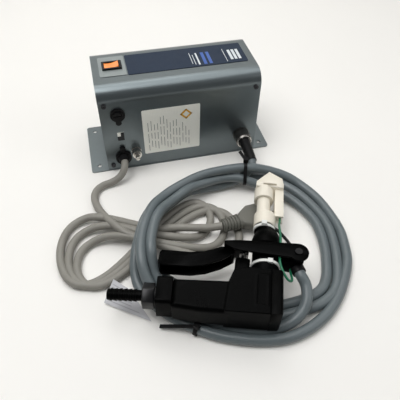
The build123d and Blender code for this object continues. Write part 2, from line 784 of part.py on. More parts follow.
# The spring stands between the bottom of the valve's bore and the stem's collar.
SPRING_TURNS, SPRING_WIRE, SPRING_R = 6, 0.8, 4.2
SPRING_LOW, SPRING_HIGH = -75.95, -57.05
spring_rise = SPRING_HIGH - SPRING_LOW - SPRING_WIRE
spring_foot = tuple(gun_at(VALVE_U, SPRING_LOW + SPRING_WIRE / 2))
with BuildPart() as valve_spring:
    with BuildLine() as winding:
        Helix(pitch=spring_rise / SPRING_TURNS, height=spring_rise, radius=SPRING_R,
              center=spring_foot, direction=tuple(gun.y_dir))
    with BuildSketch(Plane(origin=winding.line @ 0, z_dir=winding.line % 0)):
        Circle(SPRING_WIRE / 2)
    sweep(path=winding.line)
keep("valve_spring", valve_spring)

# ---------------------------------------------------------------- gun: air inlet
with BuildPart() as inlet_block:
    with BuildSketch(along_grip(0)):
        RectangleRounded(27, 26, 3.5)
    extrude(amount=13.5)
    with BuildSketch(along_grip(0)):
        Circle(AIR_D / 2)
    extrude(amount=13.5, mode=Mode.SUBTRACT)
keep("inlet_block", inlet_block)

with BuildPart() as inlet_nut:
    with BuildSketch(along_grip(13.5)):
        Circle(8.4)
    extrude(amount=1.6)
    with BuildSketch(along_grip(15.1)):
        RegularPolygon(11.2, 6)
    extrude(amount=10.5)
    chamfer(inlet_nut.faces().sort_by(Axis(gun.origin, gun.x_dir))[0].edges(), 0.8)
    with BuildSketch(along_grip(13.5)):
        Circle(AIR_D / 2)
    extrude(amount=13, mode=Mode.SUBTRACT)
keep("inlet_nut", inlet_nut)

BARB_START, BARB_L, BARB_RIBS = 25.6, 30.0, 6
with BuildPart() as hose_barb:
    with BuildSketch(along_grip(BARB_START)):
        Circle(4.6)
    extrude(amount=BARB_L)
    rib_pitch = (BARB_L - 5) / BARB_RIBS
    for rib in range(BARB_RIBS):
        with BuildSketch(along_grip(BARB_START + 5 + rib * rib_pitch)):
            Circle(5.5)
        extrude(amount=rib_pitch * 0.9, taper=12)
    with BuildSketch(along_grip(BARB_START)):
        Circle(3.0)
    extrude(amount=BARB_L + 0.1, mode=Mode.SUBTRACT)
keep("hose_barb", hose_barb)

# ---------------------------------------------------------------- gun: ionising nozzle
BASE_R = 10.5
BASE_TOP = 30.0           # the tube stands on the base from here
TUBE_U = -1.5
TUBE_L = 26.0
with BuildPart() as nozzle_base:
    with BuildSketch(along_nozzle(0.2, COLLAR_TOP)):
        Circle(BASE_R)
    extrude(amount=BASE_TOP - COLLAR_TOP)
    with BuildSketch(along_nozzle(TUBE_U, COLLAR_TOP)):
        Circle(4.0)
    extrude(amount=BASE_TOP - COLLAR_TOP, mode=Mode.SUBTRACT)
    shoulder = nozzle_base.faces().sort_by(Axis(gun.origin, gun.y_dir))[-1]
    fillet(shoulder.edges().sort_by(SortBy.LENGTH)[-1], 1.5)
keep("nozzle_base", nozzle_base)

with BuildPart() as nozzle_tube:
    with BuildSketch(along_nozzle(TUBE_U, BASE_TOP)):
        Circle(6.7)
        Circle(4.0, mode=Mode.SUBTRACT)
    extrude(amount=TUBE_L)
keep("nozzle_tube", nozzle_tube)

GUARD_V = 49.0
GUARD_SOCKET = BASE_TOP + TUBE_L - GUARD_V     # the tube reaches this far into the guard
COLLAR_L = 15.0           # round foot of the guard
SHROUD_V = 62.0           # its square shroud starts here
with BuildPart() as emitter_guard:
    with BuildSketch(along_nozzle(TUBE_U, GUARD_V)):
        Circle(9.8)
    extrude(amount=COLLAR_L)
    with BuildSketch(gun):
        with BuildLine():
            Polyline((TUBE_U - 8.8, SHROUD_V), (17.4, SHROUD_V), (17.4, 66), (16, 75), (2.3, 83.5),
                     (TUBE_U - 8.8, 68), close=True)
        make_face()
    extrude(amount=9.2, both=True)
    with BuildSketch(along_nozzle(TUBE_U, GUARD_V)):
        Circle(6.7)
    extrude(amount=GUARD_SOCKET, mode=Mode.SUBTRACT)
    with BuildSketch(along_nozzle(TUBE_U, GUARD_V + GUARD_SOCKET)):
        Circle(5.2)
    extrude(amount=40, mode=Mode.SUBTRACT)
    with BuildSketch(gun):
        with Locations((3.4, 65.6)):
            Rectangle(13.5, 2.6)
    extrude(amount=20, both=True, mode=Mode.SUBTRACT)
keep("emitter_guard", emitter_guard)

CHANNEL_LOW = 26.6
with BuildPart() as side_channel:
    with BuildSketch(gun):
        with Locations((13.4, (CHANNEL_LOW + SHROUD_V) / 2)):
            Rectangle(8.6, SHROUD_V - CHANNEL_LOW)
    extrude(amount=5.5, both=True)
    with BuildSketch(gun):
        with Locations((15.0, CHANNEL_LOW + 7.5)):
            Rectangle(7.2, 16)
    extrude(amount=3.6, both=True, mode=Mode.SUBTRACT)
    with BuildSketch(along_nozzle(TUBE_U, GUARD_V)):
        Circle(9.8)
    extrude(amount=COLLAR_L, mode=Mode.SUBTRACT)
    with BuildSketch(along_nozzle(0.2, COLLAR_TOP)):
        Circle(BASE_R)
    extrude(amount=BASE_TOP - COLLAR_TOP + 0.2, mode=Mode.SUBTRACT)
    with BuildSketch(along_nozzle(TUBE_U, BASE_TOP)):
        Circle(6.7)
    extrude(amount=TUBE_L, mode=Mode.SUBTRACT)
keep("side_channel", side_channel)

with BuildPart() as emitter_holder:
    with BuildSketch(along_nozzle(TUBE_U, GUARD_V + 1)):
        Circle(4.0)
        with PolarLocations(2.7, 4):
            Circle(1.0, mode=Mode.SUBTRACT)
        Circle(0.8, mode=Mode.SUBTRACT)
    extrude(amount=5)
keep("emitter_holder", emitter_holder)

with BuildPart() as emitter_needle:
    with BuildSketch(along_nozzle(TUBE_U, GUARD_V)):
        Circle(0.8)
    extrude(amount=14)
    with BuildSketch(along_nozzle(TUBE_U, GUARD_V + 14)):
        Circle(0.8)
    extrude(amount=4, taper=9)
keep("emitter_needle", emitter_needle)

# ---------------------------------------------------------------- gun: cable entry and its wires
GLAND_L = 5.6
GLAND_SOCKET = 3.4        # the cable starts this far inside the gland's mouth
gland_root = gun_at(30.6, -27.4)
gland_way = Vector(0.05, -1, 0).normalized()
gland = Plane(origin=gland_root, x_dir=(0, 0, 1), z_dir=gland_way)
with BuildPart() as cable_gland:
    with BuildSketch(gland):
        Circle(6.2)
    extrude(amount=GLAND_L)
    with BuildSketch(gland.offset(GLAND_L)):
        Circle(HV_CABLE_D / 2)
    extrude(amount=-GLAND_SOCKET, mode=Mode.SUBTRACT)
    add(gun_neck.part, mode=Mode.SUBTRACT)
keep("cable_gland", cable_gland)


def gun_wire(name, local_points, diameter, trims=()):
    """Thin insulated wire on the gun, through points given in the gun's frame."""
    points = [tuple(gun_at(*p)) for p in local_points]
    tube = cord_tube(name, points, diameter)
    with BuildPart() as wire:
        add(tube.part)
        for piece in trims:
            add(piece.part, mode=Mode.SUBTRACT)
    keep(name, wire)
    return wire


HV_LEAD = [(27.5, -13, 2), (26.5, -8, 3), (21.5, -1, 4), (16, 6, 4), (11, 12.5, 3), (6, 13, 2)]
hv_lead = gun_wire("hv_lead", HV_LEAD, 3.0, (gun_neck, nozzle_base))
EARTH = [(14.9, 31, 0), (14.7, 23, 1), (13.4, 15, 6), (13.6, 6, 10.6), (14.5, -8, 12.0),
         (13.4, -24, 12.0), (13.8, -33, 11.8), (17.2, -41.5, 10.5), (21.6, -46.4, 7.5),
         (25.4, -44.6, 3.5), (26.2, -38.5, 0), (25.2, -33, -1.5), (25.0, -28.5, -2)]
earth_wire = gun_wire("earth_wire", EARTH, 2.2, (gun_neck, nozzle_base, cable_gland, side_channel))

TIE_T, TIE_W = 1.2, 2.6
with BuildPart() as neck_tie_upper:
    with BuildSketch(along_nozzle(0.2, NECK_TOP + 0.6)):
        Circle(COLLAR_R + TIE_T)
        Circle(COLLAR_R, mode=Mode.SUBTRACT)
    extrude(amount=TIE_W)
    with Locations(gun.offset(COLLAR_R + 1.6).location * Location((-1.0, NECK_TOP + 2.9, 0))):
        Box(5.0, 4.2, 3.2)
    for wire in (gun_neck, nozzle_base, hv_lead, earth_wire):
        add(wire.part, mode=Mode.SUBTRACT)
keep("neck_tie_upper", neck_tie_upper)

with BuildPart() as neck_tie_lower:
    with BuildSketch(along_nozzle(NECK_U, -33.2)):
        Circle(NECK_R + TIE_T)
        Circle(NECK_R, mode=Mode.SUBTRACT)
    extrude(amount=TIE_W)
    with Locations(gun.offset(NECK_R + 0.4).location * Location((5.4, -31.9, 0))):
        Box(4.6, 4.2, 3.0)
    for wire in (gun_neck, earth_wire):
        add(wire.part, mode=Mode.SUBTRACT)
keep("neck_tie_lower", neck_tie_lower)

# ---------------------------------------------------------------- mains plug
PLUG_AT = Vector(14.0, -162.0, 15.5)      # cable end of the strain relief
plug_way = Vector(0.98, 0.17, -0.13).normalized()
plug_side = Vector(0, 0, 1).cross(plug_way).normalized()
RELIEF_L, PLUG_L, BLADE_L = 21.0, 26.0, 14.0


def plug_plane(distance):
    """Plane square to the plug's axis, x across the plug."""
    return Plane(origin=PLUG_AT + plug_way * distance, x_dir=plug_side, z_dir=plug_way)


with BuildPart() as mains_plug:
    with BuildSketch(plug_plane(0)):
        Circle(5.2)
    with BuildSketch(plug_plane(RELIEF_L)):
        Ellipse(7.6, 5.8)
    loft()
    with BuildSketch(plug_plane(RELIEF_L)):
        RectangleRounded(16, 11.5, 4)
    with BuildSketch(plug_plane(RELIEF_L + 12)):
        RectangleRounded(31, 12.5, 4)
    loft()
    with BuildSketch(plug_plane(RELIEF_L + 12)):
        RectangleRounded(31, 12.5, 4)
    extrude(amount=PLUG_L - 12)
keep("mains_plug", mains_plug)

with BuildPart() as plug_blades:
    with BuildSketch(plug_plane(RELIEF_L + PLUG_L)):
        with Locations((0, 0)):
            Rectangle(1.6, 6.4)
        with Locations((-8.5, 0)):
            Rectangle(1.6, 6.4)
        with Locations((8.5, 0)):
            Rectangle(1.6, 6.4)
    extrude(amount=BLADE_L)
keep("plug_blades", plug_blades)

# ---------------------------------------------------------------- mains cord
# The hank is a flat figure of eight in three turns; its two strands cross under the coil.
HANK_H = 8.4
CROSS_H = 17.0
with BuildPart() as mains_cord_hank:
    with BuildSketch():
        with Locations((-107, -167)):
            Ellipse(44.5, 41.5)
        with Locations((-5, -150)):
            Ellipse(40, 33)
        with Locations((-104, -168)):
            Ellipse(22, 15, mode=Mode.SUBTRACT)
        with Locations((-10, -135)):
            Ellipse(16, 9, mode=Mode.SUBTRACT)
    extrude(amount=HANK_H)
    with Locations((-62.5, -157, CROSS_H / 2)):
        Box(40, 38, CROSS_H)
    add(mains_plug.part, mode=Mode.SUBTRACT)
keep("mains_cord_hank", mains_cord_hank)

MAINS_RUN = [(-68.7, -47.5, 18.6), (-68.7, -56.5, 18.6), (-74.0, -63.0, 11.0), (-84.5, -66.0, 5.4),
             (-97.0, -67.0, 4.0), (-106.0, -75.0, 4.0), (-108.0, -88.0, 4.2), (-104.5, -103.0, 5.4),
             (-99.0, -118.0, 9.5), (-93.0, -131.0, 13.6), (-86.0, -142.0, 14.8), (-78.0, -150.5, 12.8)]
run_tube = cord_tube("mains_cord_run", MAINS_RUN, MAINS_D)
with BuildPart() as mains_cord_run:
    add(run_tube.part)
    add(mains_cord_hank.part, mode=Mode.SUBTRACT)
keep("mains_cord_run", mains_cord_run)

MAINS_TAIL = [(-49.0, -151.0, 12.6), (-37.0, -150.5, 12.7), (-24.0, -153.0, 12.8), (-11.0, -157.0, 13.2),
              (2.0, -161.0, 14.2), (14.0, -162.0, 15.5)]
tail_tube = cord_tube("mains_cord_tail", MAINS_TAIL, MAINS_D)
with BuildPart() as mains_cord_tail:
    add(tail_tube.part)
    add(mains_cord_hank.part, mode=Mode.SUBTRACT)
    add(mains_plug.part, mode=Mode.SUBTRACT)
keep("mains_cord_tail", mains_cord_tail)

# ---------------------------------------------------------------- high-voltage cable
# Sections of the coil: heading from its centre, inner and outer radius, lowest and highest z.
# It is stacked and tied at the connector, climbs over the mains hank on the left and lies flat in front.
COIL = [(62, 89, 103.5, 1.4, 27), (70, 86, 103.5, 1.4, 30), (80, 84, 106.5, 1.4, 30),
        (95, 82, 106, 0, 28), (112, 84, 106, 0, 24), (121, 84, 105, 8.8, 27),
        (136, 85, 105, 9.4, 32), (146, 86, 106, 17.3, 36), (160, 87, 107, 17.3, 36.5),
        (176, 89, 108, 17.3, 35), (184, 90, 114, 9, 30), (188, 92, 114.5, 8.8, 26),
        (193, 94, 115, 1, 19), (198, 96, 114, 0.6, 11), (203, 70, 112, 0.6, 10.6),
        (222, 62, 104, 0.6, 10.5), (225, 61.5, 102.5, 1.3, 11), (231, 61.5, 102.5, 1.3, 11),
        (240, 62, 103, 0, 10.5), (260, 62, 104, 0, 10.5), (280, 64, 106, 0, 10.5),
        (300, 70, 108.5, 0, 10.5), (320, 72, 108.5, 0, 10.5), (345, 73, 108, 0, 10.5),
        (370, 75, 108.5, 0, 11), (395, 81, 112, 0, 14), (406, 86, 112, 0.5, 18),
        (417, 92, 108, 1, 24), (422, 89, 103.5, 1.4, 27)]


def coil_plane(heading):
    """Upright plane through the coil's centre; x outwards at this heading, y up."""
    way = Vector(cos(radians(heading)), sin(radians(heading)), 0)
    return Plane(origin=(COIL_X, COIL_Y, 0), x_dir=way, z_dir=way.cross(Vector(0, 0, 1)))


with BuildPart() as hv_cable_coil:
    for pair in zip(COIL, COIL[1:]):
        for heading, inner, outer, low, high in pair:
            with BuildSketch(coil_plane(heading)):
                with Locations(((inner + outer) / 2, (low + high) / 2)):
                    Rectangle(outer - inner, high - low)
        loft()
keep("hv_cable_coil", hv_cable_coil)

EXIT_BACK = 5.0           # the cable starts this far inside the boot
exit_start = boot_end - boot_way * EXIT_BACK
exit_route = [tuple(exit_start), tuple(boot_end + boot_way * 2), (65.0, -92.5, 17.5), (57.0, -93.5, 12.5)]
exit_tube = cord_tube("hv_cable_exit", exit_route, HV_CABLE_D)
with BuildPart() as hv_boot_bored:
    add(hv_boot.part)
    add(exit_tube.part, mode=Mode.SUBTRACT)
keep("hv_boot", hv_boot_bored)
with BuildPart() as hv_cable_exit:
    add(exit_tube.part)
    add(hv_cable_coil.part, mode=Mode.SUBTRACT)
keep("hv_cable_exit", hv_cable_exit)

tail_start = gland_root + gland_way * (GLAND_L - GLAND_SOCKET)
HV_TAIL = [tuple(tail_start), tuple(tail_start + gland_way * 6), (66.0, -247.4, 23.5),
           (65.0, -254.9, 21.0), (62.1, -262.6, 18.0), (57.0, -268.0, 14.0), (48.5, -273.0, 11.5),
           (38.0, -275.0, 8.0)]
tail_tube = cord_tube("mains_cord_tail", MAINS_TAIL, MAINS_D)
with BuildPart() as mains_cord_tail:
    add(tail_tube.part)
    add(mains_cord_hank.part, mode=Mode.SUBTRACT)
    add(mains_plug.part, mode=Mode.SUBTRACT)
keep("mains_cord_tail", mains_cord_tail)

# ---------------------------------------------------------------- high-voltage cable
# Sections of the coil: heading from its centre, inner and outer radius, lowest and highest z.
# It is stacked and tied at the connector, climbs over the mains hank on the left and lies flat in front.
COIL = [(62, 89, 103.5, 1.4, 27), (70, 86, 103.5, 1.4, 30), (80, 84, 106.5, 1.4, 30),
        (95, 82, 106, 0, 28), (112, 84, 106, 0, 24), (121, 84, 105, 8.8, 27),
        (136, 85, 105, 9.4, 32), (146, 86, 106, 17.3, 36), (160, 87, 107, 17.3, 36.5),
        (176, 89, 108, 17.3, 35), (184, 90, 114, 9, 30), (188, 92, 114.5, 8.8, 26),
        (193, 94, 115, 1, 19), (198, 96, 114, 0.6, 11), (203, 70, 112, 0.6, 10.6),
        (222, 62, 104, 0.6, 10.5), (225, 61.5, 102.5, 1.3, 11), (231, 61.5, 102.5, 1.3, 11),
        (240, 62, 103, 0, 10.5), (260, 62, 104, 0, 10.5), (280, 64, 106, 0, 10.5),
        (300, 70, 108.5, 0, 10.5), (320, 72, 108.5, 0, 10.5), (345, 73, 108, 0, 10.5),
        (370, 75, 108.5, 0, 11), (395, 81, 112, 0, 14), (406, 86, 112, 0.5, 18),
        (417, 92, 108, 1, 24), (422, 89, 103.5, 1.4, 27)]


def coil_plane(heading):
    """Upright plane through the coil's centre; x outwards at this heading, y up."""
    way = Vector(cos(radians(heading)), sin(radians(heading)), 0)
    return Plane(origin=(COIL_X, COIL_Y, 0), x_dir=way, z_dir=way.cross(Vector(0, 0, 1)))


with BuildPart() as hv_cable_coil:
    for pair in zip(COIL, COIL[1:]):
        for heading, inner, outer, low, high in pair:
            with BuildSketch(coil_plane(heading)):
                with Locations(((inner + outer) / 2, (low + high) / 2)):
                    Rectangle(outer - inner, high - low)
        loft()
keep("hv_cable_coil", hv_cable_coil)

EXIT_BACK = 5.0           # the cable starts this far inside the boot
exit_start = boot_end - boot_way * EXIT_BACK
exit_route = [tuple(exit_start), tuple(boot_end + boot_way * 2), (65.0, -92.5, 17.5), (57.0, -93.5, 12.5)]
exit_tube = cord_tube("hv_cable_exit", exit_route, HV_CABLE_D)
with BuildPart() as hv_boot_bored:
    add(hv_boot.part)
    add(exit_tube.part, mode=Mode.SUBTRACT)
keep("hv_boot", hv_boot_bored)
with BuildPart() as hv_cable_exit:
    add(exit_tube.part)
    add(hv_cable_coil.part, mode=Mode.SUBTRACT)
keep("hv_cable_exit", hv_cable_exit)

tail_start = gland_root + gland_way * (GLAND_L - GLAND_SOCKET)
HV_TAIL = [tuple(tail_start), tuple(tail_start + gland_way * 7), (67.0, -252.5, 23.5),
           (64.8, -261.5, 17.5), (57.5, -268.5, 14.0), (47.5, -273.0, 11.5), (38.0, -275.0, 8.0)]
tail_tube = cord_tube("hv_cable_tail", HV_TAIL, HV_CABLE_D)
with BuildPart() as hv_cable_tail:
    add(tail_tube.part)
    add(hv_cable_coil.part, mode=Mode.SUBTRACT)
keep("hv_cable_tail", hv_cable_tail)

# cable ties round the coil, one at the connector and one under the grip
TIES = [(73.2, 84.9, 105.0, 1.4, 30.0), (228.0, 61.5, 102.5, 1.3, 11.0)]
with BuildPart() as coil_ties:
    for heading, inner, outer, low, high in TIES:
        for grow, action in ((TIE_T, Mode.ADD), (0.25, Mode.SUBTRACT)):
            with BuildSketch(coil_plane(heading)):
                with Locations(((inner + outer) / 2, (low + high) / 2)):
                    RectangleRounded(outer - inner + 2 * grow, high - low + 2 * grow, 1.5)
            extrude(amount=2, both=True, mode=action)
    with BuildSketch(coil_plane(73.2)):
        with Locations((98, 32.5)):
            Rectangle(5, 3)
    extrude(amount=2.6, both=True)
    with BuildSketch(coil_plane(228)):
        with Locations((104.4, 6)):
            Rectangle(2.4, 4.6)
    extrude(amount=2.6, both=True)
    add(hv_cable_coil.part, mode=Mode.SUBTRACT)
keep("coil_ties", coil_ties)

with BuildPart() as paper_tag:
    with BuildSketch():
        with BuildLine():
            Polyline((-111, -214), (-106, -209.5), (-86, -209.5), (-83.5, -214), (-77.5, -228), (-73, -240),
                     (-79, -238), close=True)
        make_face()
    extrude(amount=0.4)
keep("paper_tag", paper_tag)

# ---------------------------------------------------------------- export
for name, piece in pieces.items():
    export_step(piece, f"parts/{name}.step")
print(len(pieces), "nodes")
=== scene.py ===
"""Looks of the ionising air gun and its high-voltage supply box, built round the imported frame."""
import math

import bmesh
import bpy
from mathutils import Matrix, Vector, geometry


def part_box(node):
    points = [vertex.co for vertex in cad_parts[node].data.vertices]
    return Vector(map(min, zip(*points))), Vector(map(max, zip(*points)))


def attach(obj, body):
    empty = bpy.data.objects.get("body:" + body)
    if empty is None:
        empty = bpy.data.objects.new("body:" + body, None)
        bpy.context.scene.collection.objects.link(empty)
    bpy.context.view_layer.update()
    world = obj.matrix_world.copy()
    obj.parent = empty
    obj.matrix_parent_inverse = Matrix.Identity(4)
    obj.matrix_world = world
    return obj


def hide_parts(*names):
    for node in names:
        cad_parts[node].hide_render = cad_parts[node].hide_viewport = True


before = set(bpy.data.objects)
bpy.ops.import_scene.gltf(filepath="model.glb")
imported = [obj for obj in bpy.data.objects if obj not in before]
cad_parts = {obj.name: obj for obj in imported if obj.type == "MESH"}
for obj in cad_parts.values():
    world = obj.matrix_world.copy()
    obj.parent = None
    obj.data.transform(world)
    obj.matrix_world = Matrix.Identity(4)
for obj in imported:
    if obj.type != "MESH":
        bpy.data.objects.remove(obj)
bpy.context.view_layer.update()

MM = 0.001
ROOT = "supply_and_gun"
LEVER = "trigger_lever"


def mm(x, y, z):
    """Point given in millimetres."""
    return Vector((x, y, z)) * MM


# ---------------------------------------------------------------- places
case_low, case_high = (Vector(corner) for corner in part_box("cover"))
FRONT_Y = case_low.y
TOP_Z = case_high.z

# the gun's own directions and origin, as in the CAD
GUN_TURN = math.radians(69.0)
GUN_ORIGIN = mm(44.1, -196.7, 27.5)
GUN_U = Vector((math.sin(GUN_TURN), -math.cos(GUN_TURN), 0))
GUN_V = Vector((math.cos(GUN_TURN), math.sin(GUN_TURN), 0))


def gun_at(u, v, w=0.0):
    """World point of a gun point: u towards the head's end, v along the nozzle, w up, in mm."""
    return GUN_ORIGIN + (GUN_U * u + GUN_V * v + Vector((0, 0, w))) * MM


# ---------------------------------------------------------------- camera, floor and light
LIGHT_TARGET = Vector((0.0, -0.12, 0.03))
# the floor's front edge, the foot and the top of its backdrop, its bend and its half width, in metres
FLOOR_FRONT, FLOOR_BACK, BACKDROP_TOP = -2.2, 0.35, 2.2
FLOOR_BEND, FLOOR_HALF = 0.5, 2.5
BEND_STEPS = 12


def add_camera():
    """Camera at the product picture's angle."""
    yaw, pitch, roll = (math.radians(angle) for angle in (14.513, 47.679, 1.095))
    level_right = Vector((math.cos(yaw), -math.sin(yaw), 0))
    forward = Vector((math.sin(yaw) * math.cos(pitch), math.cos(yaw) * math.cos(pitch), -math.sin(pitch)))
    level_up = level_right.cross(forward)
    right = level_right * math.cos(roll) + level_up * math.sin(roll)
    up = level_up * math.cos(roll) - level_right * math.sin(roll)
    turn = Matrix((right, up, -forward)).transposed()
    data = bpy.data.cameras.new("camera")
    data.lens = 40.57
    data.sensor_width = 36
    data.clip_start = 0.01
    camera = bpy.data.objects.new("camera", data)
    camera.matrix_world = Matrix.Translation(mm(-79.25, -431.72, 365.46)) @ turn.to_4x4()
    bpy.context.collection.objects.link(camera)
    bpy.context.scene.camera = camera


def add_light(name, place, size, power):
    """Soft square white light at a place, aimed at the middle of the object, in metres and watts."""
    data = bpy.data.lights.new(name, "AREA")
    data.size = size
    data.energy = power
    lamp = bpy.data.objects.new(name, data)
    lamp.location = place
    lamp.rotation_euler = (LIGHT_TARGET - Vector(place)).to_track_quat("-Z", "Y").to_euler()
    bpy.context.collection.objects.link(lamp)


def add_studio():
    """White floor that curves up into a backdrop, a dim world and soft lights from above."""
    profile = [(FLOOR_FRONT, 0.0), (FLOOR_BACK, 0.0)]
    for step in range(1, BEND_STEPS + 1):
        turn = math.radians(90 * step / BEND_STEPS)
        profile.append((FLOOR_BACK + FLOOR_BEND * math.sin(turn), FLOOR_BEND * (1 - math.cos(turn))))
    profile.append((FLOOR_BACK + FLOOR_BEND, BACKDROP_TOP))
    verts = [(x, y, z) for y, z in profile for x in (-FLOOR_HALF, FLOOR_HALF)]
    faces = [(2 * i, 2 * i + 1, 2 * i + 3, 2 * i + 2) for i in range(len(profile) - 1)]
    mesh = bpy.data.meshes.new("floor")
    mesh.from_pydata(verts, [], faces)
    for face in mesh.polygons:
        face.use_smooth = True
    floor = bpy.data.objects.new("floor", mesh)
    bpy.context.collection.objects.link(floor)
    paper = surface("floor_paper", (0.84, 0.825, 0.79), 0.6, mottle=(3, 0.01))
    shader = paper.node_tree.nodes["Principled BSDF"]
    shader.inputs["Emission Color"].default_value = (1.0, 0.985, 0.95, 1)
    shader.inputs["Emission Strength"].default_value = 0.04
    floor.data.materials.append(paper)
    world = bpy.data.worlds.new("studio")
    world.use_nodes = True
    background = world.node_tree.nodes["Background"]
    background.inputs["Color"].default_value = (0.95, 0.97, 1.0, 1)
    background.inputs["Strength"].default_value = 0.12
    bpy.context.scene.world = world
    bpy.context.scene.view_settings.view_transform = "Standard"
    add_light("key", (-0.50, -0.15, 1.25), 0.8, 8.4)
    add_light("top", (0.15, 0.10, 1.5), 1.3, 9.6)
    add_light("fill", (0.95, -0.60, 0.80), 0.8, 3.0)
    add_light("back", (0.05, 0.80, 0.95), 0.8, 3.0)


# ---------------------------------------------------------------- materials
def link_noise(tree, coords, scale, detail, stretch=(1, 1, 1)):
    """Noise texture in metres; stretch draws it out along an axis."""
    nodes, links = tree.nodes, tree.links
    mapping = nodes.new("ShaderNodeMapping")
    mapping.inputs["Scale"].default_value = stretch
    links.new(coords, mapping.inputs["Vector"])
    noise = nodes.new("ShaderNodeTexNoise")
    noise.inputs["Scale"].default_value = scale
    noise.inputs["Detail"].default_value = detail
    links.new(mapping.outputs["Vector"], noise.inputs["Vector"])
    return noise.outputs["Fac"]


def surface(name, colour, rough, metal=0.0, mottle=(80, 0.06), grain=None, rough_vary=0.08,
            coat=0.0, stretch=(1, 1, 1), dust=None, shine=0.5):
    """Material with colour mottling, uneven gloss and a fine grain.

    mottle is (scale, amount), grain is (scale, strength, depth in mm) and dust is (colour, amount).
    """
    material = bpy.data.materials.new(name)
    material.use_nodes = True
    tree = material.node_tree
    nodes, links = tree.nodes, tree.links
    shader = nodes["Principled BSDF"]
    shader.inputs["Metallic"].default_value = metal
    shader.inputs["Coat Weight"].default_value = coat
    shader.inputs["Coat Roughness"].default_value = 0.15
    shader.inputs["Specular IOR Level"].default_value = shine
    coords = nodes.new("ShaderNodeTexCoord").outputs["Object"]
    patches = link_noise(tree, coords, mottle[0], 5.0, stretch)
    tint = nodes.new("ShaderNodeMix")
    tint.data_type = "RGBA"
    darker = [channel * (1 - mottle[1]) for channel in colour]
    lighter = [min(channel * (1 + mottle[1]), 1.0) for channel in colour]
    tint.inputs["A"].default_value = (*darker, 1)
    tint.inputs["B"].default_value = (*lighter, 1)
    links.new(patches, tint.inputs["Factor"])
    shade = tint.outputs["Result"]
    if dust:
        specks = nodes.new("ShaderNodeMapRange")
        specks.inputs["From Min"].default_value = 0.58
        specks.inputs["From Max"].default_value = 0.75
        specks.inputs["To Max"].default_value = dust[1]
        links.new(link_noise(tree, coords, 260, 8.0), specks.inputs["Value"])
        dusty = nodes.new("ShaderNodeMix")
        dusty.data_type = "RGBA"
        dusty.inputs["B"].default_value = (*dust[0], 1)
        links.new(shade, dusty.inputs["A"])
        links.new(specks.outputs["Result"], dusty.inputs["Factor"])
        shade = dusty.outputs["Result"]
    links.new(shade, shader.inputs["Base Color"])
    gloss = nodes.new("ShaderNodeMapRange")
    gloss.inputs["To Min"].default_value = max(rough - rough_vary, 0.03)
    gloss.inputs["To Max"].default_value = min(rough + rough_vary, 1.0)
    links.new(link_noise(tree, coords, mottle[0] * 2.7, 3.0, stretch), gloss.inputs["Value"])
    links.new(gloss.outputs["Result"], shader.inputs["Roughness"])
    if grain:
        bump = nodes.new("ShaderNodeBump")
        bump.inputs["Strength"].default_value = grain[1]
        bump.inputs["Distance"].default_value = grain[2] * MM
        links.new(link_noise(tree, coords, grain[0], 3.0, stretch), bump.inputs["Height"])
        links.new(bump.outputs["Normal"], shader.inputs["Normal"])
    return material


def amber_plastic():
    """Translucent orange rocker moulding with a soft painted glow: emission that stands in for light
    shining through the plastic.
    """
    material = surface("amber_plastic", (0.90, 0.27, 0.06), 0.22, mottle=(120, 0.10), coat=0.5)
    shader = material.node_tree.nodes["Principled BSDF"]
    shader.inputs["Subsurface Weight"].default_value = 0.35
    shader.inputs["Subsurface Radius"].default_value = (0.004, 0.0015, 0.0006)
    # painted glow: the rocker is not lit, so this emission is painted light
    shader.inputs["Emission Color"].default_value = (1.0, 0.33, 0.08, 1)
    shader.inputs["Emission Strength"].default_value = 0.18
    return material


